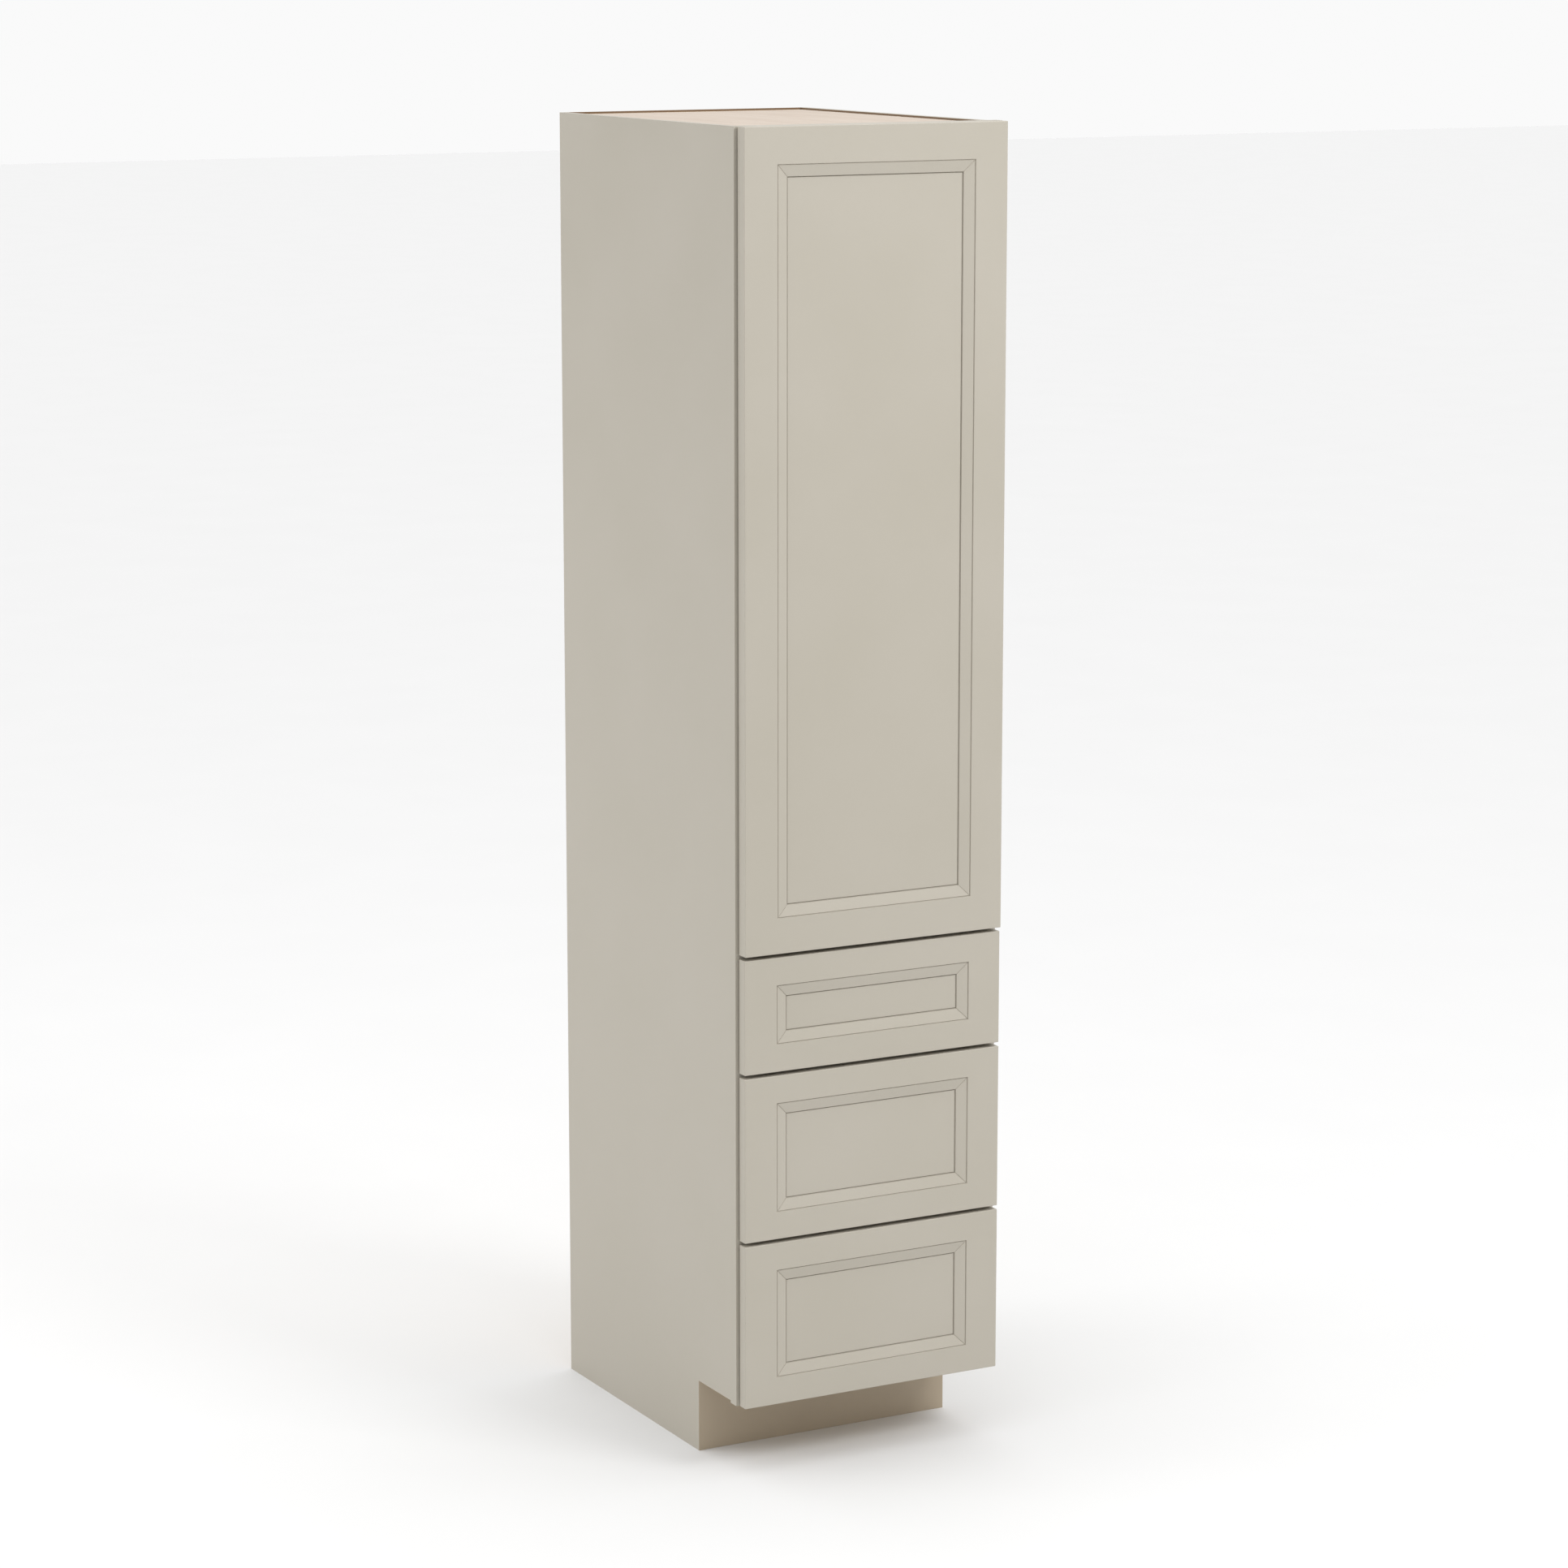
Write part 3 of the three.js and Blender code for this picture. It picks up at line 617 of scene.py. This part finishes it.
# The door's frame: one milled ring, open in the middle, then cut into four mitred members.
def addDoorFrame():
    low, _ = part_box("door_bottom_rail")
    _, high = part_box("door_top_rail")
    low.x, high.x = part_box("door_free_stile")[0].x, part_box("door_hinge_stile")[1].x
    ring = milledSlab("door_frame_blank", low, high, fronts["borderDoor"])
    bpy.ops.mesh.delete(type="FACE")
    endEdit()
    member = (fronts["borderSide"] + fronts["bevelWidth"]) * mm
    mill(ring, lambda face: face.normal.y > 0.99 and face.calc_area() > 0.01,
         [(member - fronts["edgeRound"] * mm, 0)])
    bpy.ops.mesh.delete(type="FACE")
    bpy.ops.mesh.select_mode(type="EDGE")
    pick(ring, "edges", lambda edge: edge.is_boundary)
    bpy.ops.mesh.bridge_edge_loops()

    # the groove that holds the centre panel
    panelLow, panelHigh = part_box("door_panel")
    play = fronts["panelPlay"] * mm
    grooveFront, grooveBack = panelLow.y - play, panelHigh.y + play

    def isWall(face, front=low.y, back=high.y):
        at = middleOf(face)
        across = abs(at.x) < high.x - member + 1 * mm
        upright = low.z + member - 1 * mm < at.z < high.z - member + 1 * mm
        return across and upright and abs(face.normal.y) < 0.01 and front < at.y < back

    bpy.ops.mesh.select_mode(type="FACE")
    for level in (grooveFront, grooveBack):
        pick(ring, "faces", isWall)
        bpy.ops.mesh.bisect(plane_co=(0, level, 0), plane_no=(0, 1, 0))
    pick(ring, "faces", lambda face: isWall(face, grooveFront, grooveBack))
    reach = panelHigh.x + play - (high.x - member)
    bpy.ops.mesh.extrude_region_shrink_fatten(
        TRANSFORM_OT_shrink_fatten={"value": -reach, "use_even_offset": True})
    endEdit()
    keepCrisp(ring, low, high, fronts["crispFrom"] * mm)

    # four members, mitred through the corners; each plane points out of the member that is kept
    slant = math.sqrt(0.5)
    right, left, top, bottom = high.x, low.x, high.z, low.z
    centre = (low + high) / 2
    members = {
        "door_top_rail": [(centre, (0, 0, -1)), ((right, 0, top), (slant, 0, -slant)),
                          ((left, 0, top), (-slant, 0, -slant))],
        "door_bottom_rail": [(centre, (0, 0, 1)), ((right, 0, bottom), (slant, 0, slant)),
                             ((left, 0, bottom), (-slant, 0, slant))],
        "door_hinge_stile": [(centre, (-1, 0, 0)), ((right, 0, top), (-slant, 0, slant)),
                             ((right, 0, bottom), (-slant, 0, -slant))],
        "door_free_stile": [(centre, (1, 0, 0)), ((left, 0, top), (slant, 0, slant)),
                            ((left, 0, bottom), (slant, 0, -slant))],
    }
    made = {}
    for node, planes in members.items():
        piece = copyOf(ring, node.replace("door_", "mitred_door_"))
        startEdit(piece, "FACE")
        for spot, outwards in planes:
            bpy.ops.mesh.select_all(action="SELECT")
            bpy.ops.mesh.bisect(plane_co=spot, plane_no=outwards, use_fill=True, clear_outer=True)
        bpy.ops.mesh.select_mode(type="EDGE")
        pick(piece, "edges", crossesBevel)
        bpy.ops.mesh.bevel(offset=fronts["mitreHalf"] * mm, segments=1, affect="EDGES")
        endEdit()
        made[node] = piece
    bpy.data.objects.remove(ring, do_unlink=True)
    return made


def addDoor():
    members = addDoorFrame()
    for index in (1, 2, 3):
        cupLow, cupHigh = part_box(f"hinge_cup_{index}")
        depth = fronts["boreDepth"] * mm
        centre = (cupLow + cupHigh) / 2
        centre.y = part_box("door_hinge_stile")[1].y - depth / 2 + 1 * mm
        bore = rod("cup_bore", centre, fronts["boreRadius"] * mm, depth + 2 * mm, "Y", 48)
        combine(members["door_hinge_stile"], bore)
    for node, piece in members.items():
        settle(piece, looks["paint"], "door", "greige_paint", node, smooth=50)

    low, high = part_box("door_panel")
    panel = block("door_centre_panel", low, high)
    hidden = high.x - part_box("door_hinge_stile")[0].x
    mill(panel, lambda face: face.normal.y < -0.99, [(hidden, 0)] + slitSteps())
    endEdit()
    settle(panel, looks["paint"], "door", "greige_paint", "door_panel", smooth=0)


for drawer in ("upper", "middle", "lower"):
    addDrawerFront(drawer)
addDoor()
print("pantry cabinet: door and drawer fronts made")


frameEdges = {"ease": 0.8, "glueLine": 0.1}


# A face frame member runs back to the carcass that it is glued on; only its front edges are eased.
def addFrameMember(node, axis):
    low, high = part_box(node)
    high.y += frameEdges["glueLine"] * mm
    member = block(node.replace("frame_", "painted_"), low, high)
    ease(member, frameEdges["ease"] * mm, 2,
         lambda edge: runsAlong(edge, axis) and middleOf(edge).y < low.y + 1 * mm)
    settle(member, looks["paint"], "cabinet", "greige_paint", node)


for node in ("frame_left_stile", "frame_right_stile"):
    addFrameMember(node, 2)
for node in ("frame_top_rail", "frame_middle_rail", "frame_upper_drawer_rail", "frame_lower_drawer_rail",
             "frame_bottom_rail"):
    addFrameMember(node, 0)

low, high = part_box("toe_kick_board")
glued = Vector((frameEdges["glueLine"] * mm, 0, 0))
toeBoard = block("painted_toe_board", low - glued, high + glued)
ease(toeBoard, frameEdges["ease"] * mm, 2, lambda edge: runsAlong(edge, 0))
# the toe board gets the browner, darker lacquer: painted shade of its recess
settle(toeBoard, looks["toe"], "cabinet", "greige_paint", "toe_kick_board")

for side, face in (("left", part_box("left_side_panel")[0].x), ("right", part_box("right_side_panel")[1].x)):
    name = f"{side}_panel_lacquer_and_veneer"
    dress([f"{side}_side_panel"], sidePanelLook(name, greige, toeGreigeWithPaintedShade, veneer, face, panelEdges))
# the top panel takes the darker copy of the maple veneer: painted shade
dress(["top_panel"], looks["shadedTopVeneer"])
dress(["bottom_deck", "fixed_shelf", "upper_hanging_rail", "lower_hanging_rail"], looks["plyX"])
dress(["back_panel"], looks["back"])
print("pantry cabinet: face frame and carcass made")


screws = {"radius": 3.6, "height": 1.3, "round": 0.7, "slot": 0.9, "slotLong": 2.2, "slotDepth": 0.7}


# A pan head with a cross recess, facing +Z on the origin; the other screws are copies of it.
def makeScrewHead():
    tall = screws["height"] * mm
    head = rod("screw_head", (0, 0, tall / 2), screws["radius"] * mm, tall, "Z", 20)
    ease(head, screws["round"] * mm, 3, lambda edge: middleOf(edge).z > tall - 0.01 * mm)
    arm, half = screws["slotLong"] * mm, screws["slot"] * mm / 2
    slotFloor = tall - screws["slotDepth"] * mm
    for x, y in ((arm, half), (half, arm)):
        combine(head, block("slot", (-x, -y, slotFloor), (x, y, tall + 1 * mm)))
    return head


# Copies of a small part at several places, turned to face one way, as one piece.
def setOut(part, name, places, facing):
    turn = Vector((0, 0, 1)).rotation_difference(Vector(facing)).to_euler()
    copies = []
    for count, place in enumerate(places):
        twin = copyOf(part, f"{name}_{count}")
        twin.rotation_euler = turn
        twin.location = place
        applyPlace(twin)
        copies.append(twin)
    return joined(copies, name)


screwHead = makeScrewHead()

bumpers = {"radius": 4.5, "height": 2.8, "round": 1.6, "inset": 14.0}
bumperTall = bumpers["height"] * mm
bumper = rod("bumper", (0, 0, bumperTall / 2), bumpers["radius"] * mm, bumperTall, "Z", 24)
ease(bumper, bumpers["round"] * mm, 4, lambda edge: middleOf(edge).z > bumperTall - 0.01 * mm)


# Soft bumpers on the back of a front, near its corners.
def addBumpers(name, node, body, sides):
    low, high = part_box(node)
    inset = bumpers["inset"] * mm
    places = [(side, high.y, level) for side in sides for level in (low.z + inset, high.z - inset)]
    made = setOut(bumper, name, places, (0, 1, 0))
    settle(made, looks["clear"], body, "clear_plastic")


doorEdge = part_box("door_free_stile")[0].x + bumpers["inset"] * mm
addBumpers("door_bumpers", "door_free_stile", "door", [doorEdge])

staples = {"length": 12.0, "width": 1.8, "proud": 0.5, "sunk": 0.2, "round": 0.25, "pitch": 152.4,
           "fromEdge": 3.2, "across": (0.2, 0.4, 0.6, 0.8)}


# The crowns of the staples that hold the back in its rabbets and to the shelves and rails.
def addStaples():
    low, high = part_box("back_panel")
    long, wide, proud = (staples[key] * mm for key in ("length", "width", "proud"))
    crown = block("crown", (-long / 2, -wide / 2, -staples["sunk"] * mm), (long / 2, wide / 2, proud))
    ease(crown, staples["round"] * mm, 2, lambda edge: middleOf(edge).z > proud - 0.01 * mm)
    fromEdge = staples["fromEdge"] * mm
    count = int((high.z - low.z) / (staples["pitch"] * mm))
    levels = [low.z + (row + 0.5) * (high.z - low.z) / count for row in range(count)]
    sides = (low.x + fromEdge, high.x - fromEdge)
    places = [(side, high.y, level) for side in sides for level in levels]
    upright = setOut(crown, "upright_staples", [(0, 0, 0)], (0, 1, 0))
    upright.rotation_euler.y = math.pi / 2
    applyPlace(upright)
    copies = [copyOf(upright, f"staple_{number}", place) for number, place in enumerate(places)]
    stood = joined(copies, "stood")
    held = ("bottom_deck", "fixed_shelf", "top_panel")
    rows = [sum(corner.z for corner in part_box(node)) / 2 for node in held]
    across = [low.x + share * (high.x - low.x) for share in staples["across"]]
    laid = setOut(crown, "laid", [(x, high.y, row) for row in rows for x in across], (0, 1, 0))
    made = joined([stood, laid], "back_panel_staples")
    bpy.data.objects.remove(crown, do_unlink=True)
    bpy.data.objects.remove(upright, do_unlink=True)
    settle(made, looks["zinc"], "cabinet", "zinc_steel")


addStaples()
print("pantry cabinet: screws, bumpers and staples made")


shelf = {"thickness": 19.05, "band": 6.0, "bandEase": 1.5, "backEase": 0.4, "endGap": 2.0,
         "pegReach": 8.0, "pinSetback": 50.0}
pin = {"peg": 2.25, "sunk": 0.2, "collar": 3.6, "collarThick": 0.9, "collarGap": 0.05, "root": 0.5,
       "reach": 11.0, "width": 9.0, "corner": 3.0, "plate": 1.5, "rib": 1.4, "ribShort": 2.0,
       "ribTaper": 0.2, "drop": 4.0}


# A shelf pin for a left-hand hole: the peg points to -X from the origin and the spade carries the shelf.
def makePin():
    middle = (-shelf["pegReach"] / 2 + pin["sunk"]) * mm
    long = (shelf["pegReach"] + 2 * pin["sunk"]) * mm
    peg = rod("pin", (middle, 0, 0), pin["peg"] * mm, long, "X", 20)
    thick = pin["collarThick"] * mm
    collarPlace = (thick / 2 + pin["collarGap"] * mm, 0, 0)
    collar = rod("collar", collarPlace, pin["collar"] * mm, thick, "X", 24)
    half, top = pin["width"] * mm / 2, pin["drop"] * mm / 2
    root, reach = pin["root"] * mm, pin["reach"] * mm
    spade = block("spade", (root, -half, top - pin["plate"] * mm), (reach, half, top))
    ease(spade, pin["corner"] * mm, 4, lambda edge: runsAlong(edge, 2) and middleOf(edge).x > reach / 2)
    ribHalf, ribTop = pin["rib"] * mm / 2, top - 1 * mm
    rib = block("rib", (root, -ribHalf, -top), (reach - pin["ribShort"] * mm, ribHalf, ribTop))
    startEdit(rib, "FACE")
    pick(rib, "faces", lambda face: face.normal.x > 0.9)
    bpy.ops.transform.resize(value=(1, 1, pin["ribTaper"]), center_override=(0, 0, ribTop))
    endEdit()
    for part in (collar, spade, rib):
        combine(peg, part, "UNION")
    return peg


# A plywood board with a solid front band, on four pins.
def addShelf(index, leftPin, rightPin):
    low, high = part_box(f"adjustable_shelf_{index}")
    inwards = (shelf["pegReach"] + shelf["endGap"]) * mm
    left, right = low.x + inwards, high.x - inwards
    bottom = high.z - shelf["thickness"] * mm
    bandBack = low.y + shelf["band"] * mm
    board = block(f"shelf_{index}_board", (left, bandBack, bottom), (right, high.y, high.z))
    ease(board, shelf["backEase"] * mm, 1, lambda edge: runsAlong(edge, 0) and middleOf(edge).y > 0)
    band = block(f"shelf_{index}_front_band", (left, low.y, bottom), (right, bandBack, high.z))
    ease(band, shelf["bandEase"] * mm, 3,
         lambda edge: runsAlong(edge, 0) and middleOf(edge).y < low.y + 1 * mm)
    settle(board, looks["plyX"], "cabinet", "maple_ply", f"adjustable_shelf_{index}")
    settle(band, looks["mapleX"], "cabinet", "maple_solid")
    setback = shelf["pinSetback"] * mm
    rows = (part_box("frame_left_stile")[1].y + setback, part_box("back_panel")[0].y - setback)
    level = bottom - pin["drop"] * mm / 2
    for part, side in ((leftPin, "left"), (rightPin, "right")):
        face = low.x + shelf["pegReach"] * mm if side == "left" else high.x - shelf["pegReach"] * mm
        for row, end in zip(rows, ("front", "back")):
            placed = copyOf(part, f"shelf_{index}_{side}_{end}_pin", (face, row, level))
            settle(placed, looks["nickel"], "cabinet", "nickel_steel")


leftPin = makePin()
rightPin = mirrored(leftPin, "right_pin")
for index in (1, 2, 3):
    addShelf(index, leftPin, rightPin)
for part in (leftPin, rightPin):
    bpy.data.objects.remove(part, do_unlink=True)
print("pantry cabinet: shelves made")


hinge = {
    "cup": 17.2, "wall": 1.2, "rim": 19.5, "rimThick": 1.2,
    "earHalf": 27.0, "earWide": 9.0, "earRound": 5.0, "screwFromCentre": 22.5,
    "link": 1.6, "linkSunk": 3.5, "linkSpots": (-4.0, 4.0), "linkShort": 6.0,
    "plateSetback": 6.3, "plateCorner": 3.0, "plateScrew": 16.0,
    "armHalf": 5.0, "armShort": 3.0, "armRound": 0.8,
}


# A deep-drawn cup with its flange, the two link pins in it and its screws.
def makeHingeCup(low, high):
    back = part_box("door_hinge_stile")[1].y
    centre = (low + high) / 2
    wall, thick = hinge["wall"] * mm, hinge["rimThick"] * mm
    deep = back - low.y
    cup = rod("hinge_cup", (centre.x, (low.y + back) / 2, centre.z), hinge["cup"] * mm, deep, "Y", 48)
    mill(cup, lambda face: face.normal.y > 0.9, [(wall, 0), (0, deep - wall)])
    endEdit()
    earWide, earHalf = hinge["earWide"] * mm, hinge["earHalf"] * mm
    ears = block("ears", (centre.x - earWide, back, centre.z - earHalf),
                 (centre.x + earWide, back + thick, centre.z + earHalf))
    ease(ears, hinge["earRound"] * mm, 5, lambda edge: runsAlong(edge, 1))
    rim = rod("rim", (centre.x, back + thick / 2, centre.z), hinge["rim"] * mm, thick, "Y", 48)
    combine(ears, rim, "UNION")
    inside = hinge["cup"] * mm - wall
    combine(ears, rod("mouth", (centre.x, back, centre.z), inside, 6 * mm, "Y", 48))
    linkLong, linkDeep = 2 * inside - hinge["linkShort"] * mm, back - hinge["linkSunk"] * mm
    links = [rod("link", (centre.x + spot * mm, linkDeep, centre.z), hinge["link"] * mm, linkLong, "Z", 16)
             for spot in hinge["linkSpots"]]
    out = hinge["screwFromCentre"] * mm
    places = [(centre.x, back + thick, centre.z + way * out) for way in (-1, 1)]
    heads = setOut(screwHead, "cup_screws", places, (0, 1, 0))
    return joined([cup, ears, heads] + links, "hinge_cup")


# A flat mounting plate with the arm over it and its screws.
def makeHingePlate(low, high):
    centre = (low + high) / 2
    inner = low.x + 1 * mm
    front = low.y + hinge["plateSetback"] * mm
    plate = block("hinge_plate", (inner, front, low.z), high)
    ease(plate, hinge["plateCorner"] * mm, 4, lambda edge: runsAlong(edge, 0))
    half, armBack = hinge["armHalf"] * mm, high.y - hinge["armShort"] * mm
    arm = block("arm", (low.x, low.y, centre.z - half), (high.x - 0.1 * mm, armBack, centre.z + half))
    ease(arm, hinge["armRound"] * mm, 3, lambda edge: middleOf(edge).x < low.x + 0.1 * mm)
    combine(plate, arm, "UNION")
    out = hinge["plateScrew"] * mm
    places = [(inner, (front + high.y) / 2, centre.z + way * out) for way in (-1, 1)]
    heads = setOut(screwHead, "plate_screws", places, (-1, 0, 0))
    return joined([plate, heads], "hinge_plate")


firstCup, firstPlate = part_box("hinge_cup_1"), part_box("hinge_plate_1")
cupMade, plateMade = makeHingeCup(*firstCup), makeHingePlate(*firstPlate)
for index in (1, 2, 3):
    rise = (0, 0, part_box(f"hinge_cup_{index}")[0].z - firstCup[0].z)
    for kind, made, body in (("cup", cupMade, "door"), ("plate", plateMade, "cabinet")):
        copied = copyOf(made, f"stamped_hinge_{kind}_{index}", rise)
        settle(copied, looks["nickel"], body, "nickel_steel", f"hinge_{kind}_{index}")
for part in (cupMade, plateMade):
    bpy.data.objects.remove(part, do_unlink=True)
print("pantry cabinet: hinges made")


drawerBox = {
    "wood": 12.7, "topEase": 2.2,
    "pinHalf": 3.0, "pinFlare": 1.8, "pinPitch": 30.0, "pinMargin": 16.0,
    "groove": 6.0, "grooveLow": 12.55, "grooveHigh": 19.2,
    "frontScrewX": 120.0, "frontScrewZ": 28.0,
}
slide = {
    "rollerRadius": 14.0, "rollerWide": 6.6, "rollerInset": 17.0, "rollerGap": 0.3,
    "hubIn": 3.5, "hubSunk": 1.2, "axle": 3.0, "axleShort": 0.6, "axleEase": 0.6,
    "fixedWeb": 196.84,      # inner face of the fixed rail's web, from the centre
    "movingWeb": 187.34,     # outer face of the drawer rail's web
    "screws": (60, 280, 500),
}


# Dovetail pins at one corner: each is narrow at the outer face and flares to the inner one. A
# cutter for the side's sockets runs on past the outer face by the extra.
def dovetailPins(xLow, xHigh, yOuter, yInner, low, high, extra=0.0):
    way = 1 if yInner > yOuter else -1
    flare = drawerBox["pinFlare"] * mm
    narrow = drawerBox["pinHalf"] * mm - extra / (drawerBox["wood"] * mm) * flare
    wide = drawerBox["pinHalf"] * mm + flare
    ends = sorted((yOuter - way * extra, yInner))
    count = int((high - low - drawerBox["pinMargin"] * mm) / (drawerBox["pinPitch"] * mm))
    first = (low + high) / 2 - (count - 1) / 2 * drawerBox["pinPitch"] * mm
    tails = block("pins", (xLow, ends[0], first - wide), (xHigh, ends[1], first + wide))
    startEdit(tails, "FACE")
    pick(tails, "faces", lambda face: face.normal.y * way < -0.9)
    bpy.ops.transform.resize(value=(1, 1, narrow / wide), center_override=(0, 0, first))
    endEdit()
    repeat = tails.modifiers.new("repeat", "ARRAY")
    repeat.count = count
    repeat.use_relative_offset = False
    repeat.use_constant_offset = True
    repeat.constant_offset_displace = (0, 0, drawerBox["pinPitch"] * mm)
    bpy.ops.object.modifier_apply(modifier=repeat.name)
    return tails


# Sides, front and back dovetailed round a bottom in grooves, with the screws and bumpers of its front.
def addDrawerBox(name):
    body = f"{name}_drawer"
    low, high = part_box(f"{name}_drawer_box_left")
    wood = drawerBox["wood"] * mm
    inner = low.x + wood
    groove = drawerBox["groove"] * mm
    grooveLow, grooveHigh = low.z + drawerBox["grooveLow"] * mm, low.z + drawerBox["grooveHigh"] * mm
    corners = ((low.y, low.y + wood), (high.y, high.y - wood))

    side = block(f"{name}_drawer_left_side", low, high)
    ease(side, drawerBox["topEase"] * mm, 3,
         lambda edge: runsAlong(edge, 1) and middleOf(edge).z > high.z - 1 * mm)
    combine(side, block("groove", (inner - groove, low.y + groove, grooveLow),
                        (inner + 1 * mm, high.y - groove, grooveHigh)))
    for outer, inside in corners:
        combine(side, dovetailPins(low.x - 1 * mm, inner + 1 * mm, outer, inside, low.z, high.z, 1 * mm))
    other = mirrored(side, f"{name}_drawer_right_side")
    settle(side, looks["mapleY"], body, "maple_solid", f"{name}_drawer_box_left")
    settle(other, looks["mapleY"], body, "maple_solid", f"{name}_drawer_box_right")

    for end, (outer, inside) in zip(("front", "back"), corners):
        ends = sorted((outer, inside))
        board = block(f"{name}_drawer_inner_{end}", (inner, ends[0], low.z), (-inner, ends[1], high.z))
        ease(board, drawerBox["topEase"] * mm, 3,
             lambda edge: runsAlong(edge, 0) and middleOf(edge).z > high.z - 1 * mm)
        way = 1 if inside > outer else -1
        cut = sorted((inside - way * groove, inside + way * 1 * mm))
        combine(board, block("groove", (inner - 1 * mm, cut[0], grooveLow),
                             (1 * mm - inner, cut[1], grooveHigh)))
        pins = dovetailPins(low.x, inner + 2 * mm, outer, inside, low.z, high.z)
        otherPins = mirrored(pins, "other_pins")
        combine(board, joined([pins, otherPins], "pins"), "UNION")
        settle(board, looks["mapleX"], body, "maple_solid", f"{name}_drawer_box_{end}")
    dress([f"{name}_drawer_box_bottom"], looks["plyY"])

    level = (low.z + high.z) / 2
    across, apart = drawerBox["frontScrewX"] * mm, drawerBox["frontScrewZ"] * mm
    spots = [(x, low.y + wood, level + z) for x in (-across, across) for z in (-apart, apart)]
    heads = setOut(screwHead, f"{name}_drawer_front_screws", spots, (0, 1, 0))
    settle(heads, looks["zinc"], body, "zinc_steel")
    face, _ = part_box(f"{name}_drawer_front")
    edge = face.x + bumpers["inset"] * mm
    addBumpers(f"{name}_drawer_bumpers", f"{name}_drawer_front", body, [edge, -edge])


# A nylon roller on a steel axle, with its hub sunk, along X on the origin.
def makeRoller():
    wide = slide["rollerWide"] * mm
    roller = rod("roller", (0, 0, 0), slide["rollerRadius"] * mm, wide, "X", 40)
    startEdit(roller, "FACE")
    for way in (-1, 1):
        pick(roller, "faces", lambda face: face.normal.x * way > 0.9 and face.calc_area() > 1e-5)
        bpy.ops.mesh.inset(thickness=slide["hubIn"] * mm)
        sunk = -slide["hubSunk"] * mm
        bpy.ops.mesh.extrude_region_shrink_fatten(TRANSFORM_OT_shrink_fatten={"value": sunk})
    endEdit()
    return roller


roller = makeRoller()
axleLong = slide["rollerWide"] * mm - slide["axleShort"] * mm
axle = rod("axle", (0, 0, 0), slide["axle"] * mm, axleLong, "X", 20)
ease(axle, slide["axleEase"] * mm, 2, lambda edge: abs(middleOf(edge).x) > axleLong / 2 - 0.1 * mm)


# Rollers, axles and screws of both slides of a drawer; the rails themselves are the CAD channels.
def addSlides(name):
    for side, way in (("left", -1), ("right", 1)):
        fixedLow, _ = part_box(f"{name}_{side}_cabinet_rail")
        movingLow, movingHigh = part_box(f"{name}_{side}_drawer_rail")
        dress([f"{name}_{side}_cabinet_rail", f"{name}_{side}_drawer_rail"], looks["zinc"])
        level = (movingLow.z + movingHigh.z) / 2
        web, movingWeb = way * slide["fixedWeb"] * mm, way * slide["movingWeb"] * mm
        inset = slide["rollerInset"] * mm
        off = way * (slide["rollerWide"] * mm / 2 + slide["rollerGap"] * mm)
        spots = {
            "front": ("cabinet", (web - off, fixedLow.y + inset, level)),
            "rear": (f"{name}_drawer", (movingWeb + off, movingHigh.y - inset, level)),
        }
        for end, (body, place) in spots.items():
            wheel = copyOf(roller, f"{name}_{side}_{end}_roller", place)
            settle(wheel, looks["nylon"], body, "white_nylon")
            centre = copyOf(axle, f"{name}_{side}_{end}_axle", place)
            settle(centre, looks["zinc"], body, "zinc_steel")
        places = [(web, fixedLow.y + at * mm, level) for at in slide["screws"]]
        heads = setOut(screwHead, f"{name}_{side}_cabinet_rail_screws", places, (-way, 0, 0))
        settle(heads, looks["zinc"], "cabinet", "zinc_steel")


for drawer in ("upper", "middle", "lower"):
    addDrawerBox(drawer)
    addSlides(drawer)
for part in (roller, axle, screwHead, bumper):
    bpy.data.objects.remove(part, do_unlink=True)
print("pantry cabinet: drawer boxes and slides made")


print("pantry cabinet: done")
